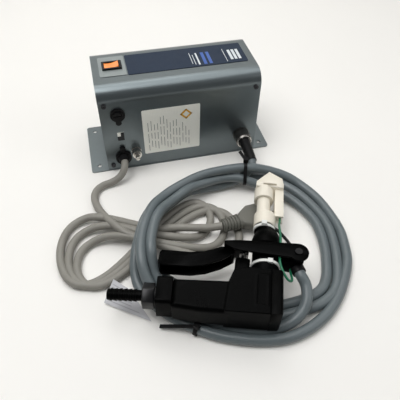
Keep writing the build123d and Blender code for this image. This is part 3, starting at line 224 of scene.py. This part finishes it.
DUST = (0.30, 0.30, 0.28)
materials = {
    "case": surface("hammertone_case", (0.158, 0.184, 0.192), 0.29, 0.80, (140, 0.05), (620, 0.25, 0.05),
                    rough_vary=0.015),
    "screw": surface("screw_steel", (0.06, 0.06, 0.065), 0.40, 0.8, (300, 0.15), (900, 0.2, 0.02)),
    "panel_grey": surface("switch_plate_grey", (0.27, 0.30, 0.30), 0.42, 0.5, (200, 0.05),
                          stretch=(1, 12, 1)),
    "navy": surface("name_plate_blue", (0.012, 0.024, 0.048), 0.42, 0.0, (60, 0.10), shine=0.16),
    "silver": surface("label_silver", (0.96, 0.96, 0.88), 0.42, 0.05, (160, 0.05), stretch=(8, 1, 1)),
    "ink": surface("label_ink", (0.012, 0.012, 0.014), 0.6, 0.0),
    "grey_ink": surface("grey_ink", (0.17, 0.17, 0.16), 0.6, 0.0),
    "tag_ink": surface("tag_ink", (0.34, 0.34, 0.36), 0.7, 0.0),
    "pale_ink": surface("pale_ink", (0.62, 0.66, 0.68), 0.5, 0.0),
    "blue_ink": surface("blue_ink", (0.035, 0.10, 0.36), 0.5, 0.0),
    "amber_ink": surface("amber_ink", (0.80, 0.42, 0.02), 0.5, 0.0),
    "black": surface("black_plastic", (0.004, 0.004, 0.0045), 0.36, 0.0, (150, 0.2), (1400, 0.15, 0.03),
                     shine=0.25),
    "amber": amber_plastic(),
    "glass": surface("fuse_glass", (0.70, 0.74, 0.74), 0.08, 0.1, (60, 0.04)),
    "nickel": surface("nickel_plate", (0.62, 0.60, 0.56), 0.24, 1.0, (260, 0.10), (1500, 0.12, 0.02)),
    "satin": surface("satin_nickel", (0.22, 0.21, 0.195), 0.30, 1.0, (260, 0.25), (1200, 0.2, 0.03)),
    "brass": surface("brass", (0.62, 0.44, 0.20), 0.30, 1.0, (240, 0.14), (1200, 0.15, 0.02)),
    "rubber": surface("black_rubber", (0.004, 0.004, 0.0045), 0.50, 0.0, (220, 0.2), (1100, 0.25, 0.05),
                      shine=0.2),
    "core": surface("core_steel", (0.15, 0.15, 0.16), 0.5, 0.7, (40, 0.2), (500, 0.4, 0.1),
                    stretch=(1, 30, 1)),
    "tape": surface("winding_tape", (0.60, 0.42, 0.10), 0.4, 0.0, (90, 0.12), (700, 0.3, 0.1)),
    "ivory": surface("terminal_ivory", (0.66, 0.62, 0.50), 0.45, 0.0),
    "red": surface("lead_red", (0.42, 0.035, 0.025), 0.4, 0.0),
    "gun": surface("gun_black", (0.0011, 0.0012, 0.0012), 0.33, 0.0, (70, 0.25), (1300, 0.22, 0.05),
                   dust=(DUST, 0.004), shine=0.03),
    "pin": surface("pin_steel", (0.50, 0.49, 0.47), 0.28, 1.0, (220, 0.08), (900, 0.2, 0.02)),
    "inlet": surface("inlet_metal", (0.010, 0.010, 0.011), 0.36, 0.4, (200, 0.2), (900, 0.2, 0.03)),
    "white": surface("nozzle_white", (0.80, 0.75, 0.64), 0.38, 0.0, (110, 0.04), (900, 0.12, 0.04)),
    "green": surface("green_wire", (0.010, 0.15, 0.07), 0.38, 0.0),
    "tie_white": surface("tie_white", (0.72, 0.73, 0.70), 0.38, 0.0),
    "mains": surface("mains_grey", (0.250, 0.240, 0.212), 0.48, 0.0, (55, 0.10), (800, 0.2, 0.06),
                     dust=(DUST, 0.08), shine=0.35),
    "plug": surface("plug_grey", (0.150, 0.148, 0.128), 0.50, 0.0, (90, 0.08), (900, 0.2, 0.05),
                    shine=0.35),
    "hv": surface("hv_grey", (0.122, 0.146, 0.154), 0.36, 0.0, (45, 0.10), (900, 0.2, 0.05),
                  dust=(DUST, 0.06), shine=0.5),
    "paper": surface("tag_paper", (0.52, 0.52, 0.54), 0.7, 0.0, (60, 0.03), (700, 0.2, 0.05)),
}

# the finish of every CAD node that no piece replaces
NODE_FINISH = {
    "base_plate": "case", "cover": "case", "end_plate_left": "case", "end_plate_right": "case",
    "cover_screws": "screw", "plate_rivets": "screw", "switch_plate": "panel_grey",
    "name_plate": "navy", "front_labels": "silver", "switch_body": "black", "rocker": "amber",
    "fuse_holder": "black", "fuse_cap": "black", "fuse": "glass", "panel_nuts": "nickel",
    "cord_bushing": "rubber", "ground_stud": "nickel", "ground_washer": "nickel",
    "ground_nut": "nickel", "hv_socket": "satin", "hv_ring": "satin", "hv_plug": "inlet",
    "hv_boot": "rubber", "transformer_core": "core", "transformer_windings": "tape",
    "transformer_screws": "screw", "terminal_block": "ivory", "internal_leads": "red",
    "lever_pin": "black", "valve_stem": "pin", "valve_gland": "brass", "valve_spring": "pin",
    "nozzle_tube": "white", "emitter_holder": "white", "emitter_needle": "pin",
    "hv_lead": "rubber", "earth_wire": "green", "plug_blades": "nickel", "hose_barb": "gun",
}


def dress(node, finish):
    """Give a CAD node's material slots a finish."""
    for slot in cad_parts[node].material_slots:
        slot.material = materials[finish]


# ---------------------------------------------------------------- making pieces
def new_piece(name, mesh, finish, body=ROOT, smooth=True):
    """Link a mesh as a piece that rides on a body."""
    for face in mesh.polygons:
        face.use_smooth = smooth
    piece = bpy.data.objects.new(name, mesh)
    bpy.context.collection.objects.link(piece)
    mesh.materials.clear()
    mesh.materials.append(materials[finish])
    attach(piece, body)
    return piece


def baked(name, source):
    """Mesh of an object with its modifiers applied; the object is removed."""
    graph = bpy.context.evaluated_depsgraph_get()
    mesh = bpy.data.meshes.new_from_object(source.evaluated_get(graph), depsgraph=graph)
    mesh.name = name
    bpy.data.objects.remove(source)
    return mesh


def mesh_from(name, work):
    """Mesh made from a bmesh, which is freed."""
    mesh = bpy.data.meshes.new(name)
    work.to_mesh(mesh)
    work.free()
    return mesh


def join_loops(work, loops):
    """Band of faces from each closed loop of corners to the next, and from the last to the first."""
    for line, following in zip(loops, loops[1:] + loops[:1]):
        for i in range(len(line)):
            j = (i + 1) % len(line)
            work.faces.new((line[i], line[j], following[j], following[i]))


EASE_ANGLE = 32.0                # edges sharper than this many degrees are rounded
EASE_SEGMENTS = 3


def eased(node, finish, width, body):
    """Copy of a CAD node with its sharp edges rounded, in place of the node."""
    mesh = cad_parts[node].data.copy()
    work = bmesh.new()
    work.from_mesh(mesh)
    bmesh.ops.remove_doubles(work, verts=work.verts, dist=2e-6)
    bmesh.ops.dissolve_limit(work, angle_limit=math.radians(1.0), verts=work.verts, edges=work.edges)
    work.to_mesh(mesh)
    work.free()
    source = bpy.data.objects.new("source", mesh)
    bpy.context.collection.objects.link(source)
    bevel = source.modifiers.new("bevel", "BEVEL")
    bevel.width = width * MM
    bevel.segments = EASE_SEGMENTS
    bevel.limit_method = "ANGLE"
    bevel.angle_limit = math.radians(EASE_ANGLE)
    bevel.harden_normals = True
    piece = new_piece(node + "_moulded", baked(node + "_moulded", source), finish, body)
    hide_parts(node)


def melted(node, finish, voxel, rounds):
    """Copy of a fixed CAD node remeshed and smoothed into one soft moulding, in place of the node."""
    source = bpy.data.objects.new("source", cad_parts[node].data.copy())
    bpy.context.collection.objects.link(source)
    remesh = source.modifiers.new("remesh", "REMESH")
    remesh.mode = "VOXEL"
    remesh.voxel_size = voxel * MM
    soften = source.modifiers.new("soften", "SMOOTH")
    soften.factor = 0.5
    soften.iterations = rounds
    piece = new_piece(node + "_moulded", baked(node + "_moulded", source), finish)
    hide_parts(node)
    return piece


def marks(name, origin, across, up, rects, finish, lift=0.06):
    """Thin printed or raised rectangles on a flat face: each is (x, y, width, height) in mm."""
    across, up = Vector(across), Vector(up)
    out = across.cross(up)
    work = bmesh.new()
    for x, y, width, height in rects:
        corners = [(x, y), (x + width, y), (x + width, y + height), (x, y + height)]
        base = [Vector(origin) + (across * a + up * b) * MM for a, b in corners]
        low = [work.verts.new(point) for point in base]
        high = [work.verts.new(point + out * lift * MM) for point in base]
        work.faces.new(high)
        for i in range(4):
            work.faces.new((low[i], low[(i + 1) % 4], high[(i + 1) % 4], high[i]))
    new_piece(name, mesh_from(name, work), finish, smooth=False)


def cord_curve(name, points, diameter, finish):
    """Smooth round cord whose control points are the route's points, in metres."""
    data = bpy.data.curves.new(name, "CURVE")
    data.dimensions = "3D"
    spline = data.splines.new("NURBS")
    spline.points.add(len(points) - 1)
    for knot, point in zip(spline.points, points):
        knot.co = (*point, 1)
    spline.order_u = 3
    spline.use_endpoint_u = True
    spline.resolution_u = 6
    data.bevel_depth = diameter / 2
    data.bevel_resolution = 5
    data.use_fill_caps = True
    data.materials.append(materials[finish])
    piece = bpy.data.objects.new(name, data)
    bpy.context.collection.objects.link(piece)
    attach(piece, ROOT)
    return piece


# ---------------------------------------------------------------- mains cord
MAINS_D = 8.0 * MM
MAINS_RUN = [(-68.7, -47.5, 18.6), (-68.7, -56.5, 18.6), (-74.0, -63.0, 11.0), (-84.5, -66.0, 5.4),
             (-97.0, -67.0, 4.0), (-106.0, -75.0, 4.0), (-108.0, -88.0, 4.2), (-104.5, -103.0, 5.4),
             (-99.0, -118.0, 9.5), (-93.0, -131.0, 13.6), (-86.0, -142.0, 14.8), (-78.0, -150.5, 12.8)]
MAINS_TAIL = [(-49.0, -151.0, 12.6), (-37.0, -150.5, 12.7), (-24.0, -153.0, 12.8),
              (-11.0, -157.0, 13.2), (2.0, -161.0, 14.2), (14.0, -162.0, 15.5)]
HANK_TURNS = 3
HANK_POINTS = 22                 # spline points for each turn
HANK_X, HANK_Y = -60.0, -170.0   # the strands cross here, at first
CROSSING_STEP = 4.2              # each crossing lies this much further back than the one before
STRAND_Z, HUMP_Z = 4.2, 8.3      # height of a strand on the floor, and its rise where it crosses another
HUMP_FOOT, HUMP_SLOPE = 0.9, 0.55     # half length of the hump and of its slope, as angles of the turn
# reach, lean and half height of each turn's right and left loop, in mm
RIGHT_LOOPS = [(92.0, 8.0, 32.5), (80.5, 13.0, 27.7), (69.0, 17.0, 23.0)]
LEFT_LOOPS = [(72.0, -9.0, 26.0), (79.5, -9.0, 33.0), (87.0, -9.0, 40.0)]


def hank_points():
    """Three figure-of-eight turns; one way across passes over the other in a long low hump."""
    start = 1.5 * math.pi
    points = []
    for step in range(2, HANK_TURNS * HANK_POINTS - 1):
        angle = start + 2 * math.pi * step / HANK_POINTS
        turn = int((angle - start) // (2 * math.pi))
        reach, lean, half = (RIGHT_LOOPS if math.cos(angle) > 0 else LEFT_LOOPS)[turn]
        crossing = HANK_Y + CROSSING_STEP * (angle - start) / math.pi
        x = HANK_X + reach * math.cos(angle)
        y = crossing + lean * abs(math.cos(angle)) + half * math.sin(2 * angle)
        off_top = abs((angle - start + math.pi) % (2 * math.pi) - math.pi)
        hump = min(max((HUMP_FOOT - off_top) / HUMP_SLOPE, 0.0), 1.0)
        points.append((x, y, STRAND_Z + HUMP_Z * hump * hump * (3 - 2 * hump)))
    return points


PLUG_AT = mm(14.0, -162.0, 15.5)
PLUG_WAY = Vector((0.98, 0.17, -0.13)).normalized()
RELIEF_L = 21.0                  # the plug's strain relief
RELIEF_R, GROWS_WIDE, GROWS_HIGH = 5.2, 2.4, 0.6       # its radius at the cord, and how it grows
RELIEF_RIBS, FIRST_RIB, RIB_PITCH = 6, 2.2, 3.2
RIB_SECTION = [(-1.0, -0.6), (-0.8, 1.5), (0.8, 1.5), (1.0, -0.6)]      # (along, out) in mm
CIRCLE_STEPS = 32


def relief_ribs():
    """Raised rings round the plug's strain relief."""
    side = Vector((0, 0, 1)).cross(PLUG_WAY).normalized()
    up = PLUG_WAY.cross(side)
    work = bmesh.new()
    for rib in range(RELIEF_RIBS):
        distance = FIRST_RIB + rib * RIB_PITCH
        share = distance / RELIEF_L
        wide, high = RELIEF_R + GROWS_WIDE * share, RELIEF_R + GROWS_HIGH * share
        loops = []
        for offset, rise in RIB_SECTION:
            centre = PLUG_AT + PLUG_WAY * (distance + offset) * MM
            loop = []
            for step in range(CIRCLE_STEPS):
                turn = 2 * math.pi * step / CIRCLE_STEPS
                across = side * math.cos(turn) * (wide + rise)
                loop.append(work.verts.new(centre + (across + up * math.sin(turn) * (high + rise)) * MM))
            loops.append(loop)
        join_loops(work, loops)
    bmesh.ops.recalc_face_normals(work, faces=work.faces)
    return new_piece("relief_ribs", mesh_from("relief_ribs", work), "plug")


# ---------------------------------------------------------------- high-voltage cable
HV_D = 10.0 * MM
COIL_X, COIL_Y = 31.0, -186.0
# Each turn anticlockwise from the connector: (heading, radius, height) in degrees and mm.
# The turns are stacked at the connector, climb over the mains cord on the left and fan out in front.
INNER_TURN = [(80, 89.5, 7.5), (92, 87, 5.8), (108, 88.5, 9), (118, 90, 13.8), (136, 91, 14),
              (146, 91.5, 20.5), (156, 92, 22.5), (170, 93.5, 22.5), (176, 93.5, 20.5),
              (181, 92, 15.5), (186, 89.5, 10.5), (192, 85, 6.5), (198, 80, 5.3), (210, 72.5, 5.3),
              (228, 67.3, 5.3), (241, 66.3, 5.3), (262, 67, 5.3), (280, 70, 5.3), (300, 78, 5.3),
              (312, 83, 5.3), (322, 82, 5.3), (333, 79.5, 5.3), (345, 79.3, 5.3), (360, 81, 5.3),
              (374, 84, 5.3), (395, 86, 5.3), (410, 86, 5.6), (422, 85.5, 9), (430, 84.5, 13.5),
              (438, 87, 16.5)]
MIDDLE_TURN = [(90, 88.5, 16.3), (108, 86.5, 18.8), (118, 85.5, 22.6), (136, 86.3, 23.3),
               (148, 88, 30), (158, 89, 31.5), (172, 91, 31.3), (179, 91.7, 29.5), (185, 93.1, 22),
               (191, 93.1, 14.5), (197, 92.3, 10), (201, 88.7, 6.8), (206, 85.8, 5.5), (215, 82, 5.3),
               (228, 77.5, 5.3), (241, 76.6, 5.3), (262, 77.4, 5.3), (280, 80, 5.3),
               (300, 88.5, 5.3), (312, 93, 5.3), (322, 92.5, 5.3), (334, 89.6, 5.3),
               (345, 89.3, 5.3), (360, 91.5, 5.3), (374, 94, 5.3), (395, 98.5, 5.3),
               (410, 101.5, 5.3), (425, 102.6, 5.3), (436, 102.6, 5.6)]
OUTER_TURN = [(90, 101.3, 6.5), (102, 101.4, 12.3), (115, 100.8, 14), (136, 101, 14),
              (146, 101.3, 20.5), (156, 102, 22.5), (169, 103.5, 22.5), (175, 106, 19),
              (180, 108.5, 14), (185, 110, 9), (191, 110.5, 5.6), (200, 107.8, 5.3),
              (215, 102, 5.3), (228, 98, 5.3), (241, 97, 5.3), (262, 98, 5.3), (280, 101.2, 5.3),
              (305, 101, 5.3), (335, 100.4, 5.3), (350, 100, 5.3), (360, 102, 5.3),
              (374, 103.5, 5.3), (387, 108, 5.3), (399, 110, 6.5), (407, 108.5, 11.5),
              (416, 105, 15.5), (422, 100, 20), (427, 96, 24), (436, 93.8, 25.3)]
LAST_TURN = [(87, 91.6, 25.5), (105, 93.3, 25), (126, 95.5, 23.6), (136, 97, 24), (145, 97.7, 28.5),
             (156, 97.5, 31.5), (171, 100.3, 31.5), (183, 102.5, 27.5), (191, 102.8, 19.5),
             (197, 101.8, 12.8), (201, 98.3, 8.5), (206, 95.5, 6), (215, 92, 5.3), (228, 87.8, 5.3),
             (241, 86.8, 5.3), (258, 87.6, 5.5), (267, 88.5, 6.4)]
TURNS = (INNER_TURN, MIDDLE_TURN, OUTER_TURN, LAST_TURN)
# from the connector's boot into the first turn, and from the last turn into the gun's gland
BOOT_EXIT = [(69.4, -81.07, 23.77), (69.4, -87.95, 22.70), (65.0, -92.5, 17.5), (57.0, -95.0, 11.0)]
GUN_TAIL = [(38.0, -275.0, 8.0), (48.5, -273.0, 11.5), (57.0, -268.0, 14.0), (62.1, -262.6, 18.0),
            (65.0, -254.9, 21.0), (66.0, -247.4, 23.5), (63.26, -241.44, 27.5), (62.96, -235.44, 27.5)]


def coil_points():
    """The coil's turns as points round its centre."""
    points = []
    for turn in TURNS:
        for heading, radius, height in turn:
            x = COIL_X + radius * math.cos(math.radians(heading))
            y = COIL_Y + radius * math.sin(math.radians(heading))
            points.append((x, y, height))
    return points


def strand_at(turn, heading):
    """Radius and height of a turn of the coil at a heading, in mm."""
    for before, after in zip(turn, turn[1:]):
        if before[0] <= heading <= after[0]:
            share = (heading - before[0]) / (after[0] - before[0])
            return [a + (b - a) * share for a, b in zip(before[1:], after[1:])]
    return None


def strands_at(heading):
    """Radius and height, in mm, of every strand of the coil that passes a heading."""
    found = [strand_at(turn, wrapped) for turn in TURNS for wrapped in (heading, heading + 360)]
    return [strand for strand in found if strand]


def strip(start, end, width, thick):
    """Matrix that stretches a unit cube between two points, flat side up."""
    along = end - start
    side = Vector((0, 0, 1)).cross(along).normalized()
    up = along.normalized().cross(side)
    turn = Matrix((along, side * width * MM, up * thick * MM)).transposed()
    return Matrix.Translation((start + end) / 2) @ turn.to_4x4()


TIE_HALF, TIE_THICK = 1.8, 1.1    # half width and thickness of a coil tie's band, in mm
TIE_GAP = 0.15                    # room between the band and the cable
KNOT_W, KNOT_T = 5.2, 4.4
TAIL_W, TAIL_T = 3.2, 1.2
BAND_POINTS = 64                  # points round the band
WRAP_STEPS = 24                   # points round each strand that the band wraps


def coil_tie(name, heading, knot, tail):
    """Flat plastic band pulled tight round the strands that pass a heading, with its knot and tail.

    The knot is (inner radius, outer radius, height) and the tail ends at a point, all in mm.
    """
    gap = HV_D / MM / 2 + TIE_GAP
    way = Vector((math.cos(math.radians(heading)), math.sin(math.radians(heading)), 0))
    side = Vector((-way.y, way.x, 0))
    rings = []
    for reach, floor in ((gap, 0.02), (gap + TIE_THICK, 0.0)):
        cloud = []
        for radius, height in strands_at(heading):
            for step in range(WRAP_STEPS):
                turn = 2 * math.pi * step / WRAP_STEPS
                cloud.append((radius + reach * math.cos(turn), max(height + reach * math.sin(turn), floor)))
        hull = [Vector(cloud[i]) for i in geometry.convex_hull_2d(cloud)]
        rings.append(evenly(hull, BAND_POINTS))
    work = bmesh.new()
    loops = []
    for ring, offset in ((0, -1), (0, 1), (1, 1), (1, -1)):
        loop = []
        for radius, height in rings[ring]:
            base = mm(COIL_X, COIL_Y, 0) + way * radius * MM + Vector((0, 0, height * MM))
            loop.append(work.verts.new(base + side * offset * TIE_HALF * MM))
        loops.append(loop)
    join_loops(work, loops)
    low, high = (mm(COIL_X, COIL_Y, knot[2]) + way * radius * MM for radius in knot[:2])
    bmesh.ops.create_cube(work, size=1, matrix=strip(low, high, KNOT_W, KNOT_T))
    bmesh.ops.create_cube(work, size=1, matrix=strip((low + high) / 2, mm(*tail), TAIL_W, TAIL_T))
    bmesh.ops.recalc_face_normals(work, faces=work.faces)
    return new_piece(name, mesh_from(name, work), "rubber", smooth=False)


def evenly(loop, count):
    """Points evenly spaced round a closed loop, starting at its furthest point out."""
    first = max(range(len(loop)), key=lambda i: loop[i][0])
    loop = loop[first:] + loop[:first]
    closed = loop + [loop[0]]
    lengths = [(b - a).length for a, b in zip(closed, closed[1:])]
    step = sum(lengths) / count
    points, walked, part = [], 0.0, 0
    for i in range(count):
        while walked + lengths[part] < i * step:
            walked += lengths[part]
            part += 1
        share = (i * step - walked) / lengths[part]
        points.append(closed[part].lerp(closed[part + 1], share))
    return points


# ---------------------------------------------------------------- small surface details
# ends of the grip's finger ribs in gun mm, and the height of the face that they stand on
GRIP_RIBS = [(-54.9, -69.8, -50.6, -84), (-51.6, -68.6, -47.3, -84), (-48.4, -67.6, -44.1, -84)]
GRIP_FACE_W = 12.7
RIB_W, RIB_H = 0.8, 0.7


def grip_ribs():
    """Three low finger ribs across the grip's upper face."""
    for number, (u0, v0, u1, v1) in enumerate(GRIP_RIBS, 1):
        start, end = gun_at(u0, v0, GRIP_FACE_W), gun_at(u1, v1, GRIP_FACE_W)
        across = (end - start).normalized()
        up = Vector((0, 0, 1)).cross(across)
        length = (end - start).length / MM
        rects = [(0, -RIB_W / 2, length, RIB_W)]
        marks(f"grip_rib_{number}", start, across, up, rects, "gun", RIB_H)


# corners of the tag's sheet in mm, going round; the first lies on a strand of the mains cord
TAG_CORNERS = [(-98.8, -195.0, 8.7), (-110.2, -213.3, 1.6), (-71.5, -240.8, 0.4), (-86.0, -207.0, 5.5)]
TAG_STEPS = 16                    # faces along and across the sheet and each printed line
TAG_LINES, FIRST_LINE, LINE_PITCH, LINE_W = 6, 0.14, 0.13, 0.035     # shares of the tag's width


def tag_point(along, across, lift=0.0):
    """Point of the tag's curled sheet; along and across run from 0 to 1."""
    a, b, c, d = (Vector(corner) for corner in TAG_CORNERS)
    place = b.lerp(c, along).lerp(a.lerp(d, along), across)
    curl = 2.0 * (along - 0.5) ** 2
    return mm(place.x, place.y, place.z + curl + lift)


def tag_sheet(name, spans, finish, lift):
    """Strips of the tag's sheet: each span is (along from, along to, across from, across to)."""
    work = bmesh.new()
    for along0, along1, across0, across1 in spans:
        grid = []
        for i in range(TAG_STEPS + 1):
            along = along0 + (along1 - along0) * i / TAG_STEPS
            row = []
            for j in range(TAG_STEPS + 1):
                across = across0 + (across1 - across0) * j / TAG_STEPS
                row.append(work.verts.new(tag_point(along, across, lift)))
            grid.append(row)
        for i in range(TAG_STEPS):
            for j in range(TAG_STEPS):
                work.faces.new((grid[i][j], grid[i + 1][j], grid[i + 1][j + 1], grid[i][j + 1]))
    return new_piece(name, mesh_from(name, work), finish)


def curled_tag():
    """Paper tag with plain printed lines, from the floor up onto a strand of the mains cord."""
    sheet = tag_sheet("curled_tag", [(0, 1, 0, 1)], "paper", 0.0)
    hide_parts("paper_tag")
    lines = []
    for line in range(TAG_LINES):
        across = FIRST_LINE + LINE_PITCH * line
        lines.append((0.08, 0.80 - (line * 7 % 4) * 0.05, across, across + LINE_W))
    tag_sheet("tag_lines", lines, "tag_ink", 0.05)


RIM_IN = 6.9 * MM                 # the rim's bore
RIM_STEPS = 48


def ring_rim():
    """Bright plated rim on the front of the connector's ring."""
    low, high = (Vector(corner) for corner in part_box("hv_ring"))
    centre = Vector(((low.x + high.x) / 2, low.y, (low.z + high.z) / 2))
    outer = (high.x - low.x) / 2 - 0.7 * MM
    work = bmesh.new()
    loops = []
    for radius, ahead in ((RIM_IN, -0.2), (RIM_IN, 0.5), (outer - 0.4 * MM, 0.5), (outer, -0.2)):
        loop = []
        for step in range(RIM_STEPS):
            turn = 2 * math.pi * step / RIM_STEPS
            offset = Vector((radius * math.cos(turn), -ahead * MM, radius * math.sin(turn)))
            loop.append(work.verts.new(centre + offset))
        loops.append(loop)
    join_loops(work, loops)
    bmesh.ops.recalc_face_normals(work, faces=work.faces)
    new_piece("ring_rim", mesh_from("ring_rim", work), "nickel", body="connector_ring")


LABEL_FACE = FRONT_Y - 0.2 * MM
PLATE_FACE = TOP_Z + 0.5 * MM
RIGHT, UP, BACK = (1, 0, 0), (0, 0, 1), (0, 1, 0)
# the rating label's lines of dashes: how many, where the first stands, their pitch, gap and width, in mm
LABEL_LINES, FIRST_LINE_X, LABEL_PITCH, DASH_GAP, DASH_W = 14, -38.5, 3.5, 3, 0.55
LABEL_LOW, SHORT_DASH = 22, 8          # lowest start of a line and shortest dash
DIAMOND_LEFT, DIAMOND_LOW = -6, 57     # dashes past both would run into the diamond
DIAMOND_HALF, DIAMOND_W = 4.9, 2       # half side and line width of the diamond


def print_labels():
    """Plain bars and outlines in place of the printing on the box's labels."""
    front_at = Vector((0, LABEL_FACE, 0))
    fine = []
    for line in range(LABEL_LINES):
        x = FIRST_LINE_X + line * LABEL_PITCH
        low = LABEL_LOW + (line * 5) % 7
        for dash in range(3):
            length = SHORT_DASH + (line * 7 + dash * 5) % 6
            if not (x > DIAMOND_LEFT and low + length > DIAMOND_LOW):
                fine.append((x, low, DASH_W, length))
            low += length + DASH_GAP
    marks("label_lines", front_at, RIGHT, UP, fine, "grey_ink")
    slant = math.sqrt(0.5)
    diamond = Vector((4.3 * MM, LABEL_FACE, 66.5 * MM))
    near, far, side = -DIAMOND_HALF, DIAMOND_HALF - DIAMOND_W, 2 * DIAMOND_HALF
    sides = [(near, near, side, DIAMOND_W), (near, far, side, DIAMOND_W),
             (near, near, DIAMOND_W, side), (far, near, DIAMOND_W, side)]
    marks("label_diamond", diamond, (slant, 0, slant), (-slant, 0, slant), sides, "amber_ink")
    dark = [(-72.1, 42.5, 7.2, 5.8), (-68.4, 48.3, 3.5, 5.0)]
    marks("small_label_dark", front_at, RIGHT, UP, dark, "ink")
    plate_at = Vector((0, 0, PLATE_FACE))
    pale = [(19, -10, 0.7, 22), (22, -12, 0.7, 20), (25.5, -13, 1.8, 24), (57, -13, 0.6, 26),
            (62, -10, 3, 20), (66.5, -10, 3, 20), (71, -10, 3, 20)]
    marks("plate_lines", plate_at, RIGHT, BACK, pale, "pale_ink")
    blue = [(31.5, -13, 3.4, 24), (37.5, -13, 3.4, 24)]
    marks("plate_blocks", plate_at, RIGHT, BACK, blue, "blue_ink")


# ---------------------------------------------------------------- build
for node, finish in NODE_FINISH.items():
    dress(node, finish)

add_camera()
add_studio()

plug = melted("mains_plug", "plug", 0.6, 10)
plug_ribs = relief_ribs()
mains_route = [mm(*point) for point in MAINS_RUN + hank_points() + MAINS_TAIL]
mains = cord_curve("mains_cord", mains_route, MAINS_D, "mains")
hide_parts("mains_cord_hank", "mains_cord_run", "mains_cord_tail")

hv_route = [mm(*point) for point in BOOT_EXIT + coil_points() + GUN_TAIL]
hv = cord_curve("hv_cable", hv_route, HV_D, "hv")
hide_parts("hv_cable_coil", "hv_cable_exit", "hv_cable_tail")
rear_tie = coil_tie("coil_tie_rear", 73.2, (95.0, 100.0, 33.0), (55.0, -82.0, 37.0))
front_tie = coil_tie("coil_tie_front", 228.0, (97.5, 101.5, 12.4), (-65.5, -248.5, 4.0))
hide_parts("coil_ties")

for node, finish, slot, width, body in (
    ("gun_end_cap", "gun", "gun_black", 0.7, ROOT),
    ("gun_neck", "gun", "gun_black", 0.5, ROOT),
    ("lever", "gun", "gun_black", 0.45, LEVER),
    ("inlet_block", "gun", "gun_black", 0.6, ROOT),
    ("inlet_nut", "inlet", "inlet_metal", 0.4, ROOT),
    ("emitter_guard", "white", "nozzle_white", 0.5, ROOT),
    ("side_channel", "white", "nozzle_white", 0.4, ROOT),
    ("nozzle_base", "white", "nozzle_white", 0.4, ROOT),
    ("cable_gland", "rubber", "black_rubber", 0.5, ROOT),
    ("neck_tie_upper", "tie_white", "tie_white", 0.25, ROOT),
    ("neck_tie_lower", "tie_white", "tie_white", 0.25, ROOT),
):
    eased(node, finish, width, body)
melted("gun_body", "gun", 0.65, 5)
grip_ribs()
curled_tag()
ring_rim()
print_labels()
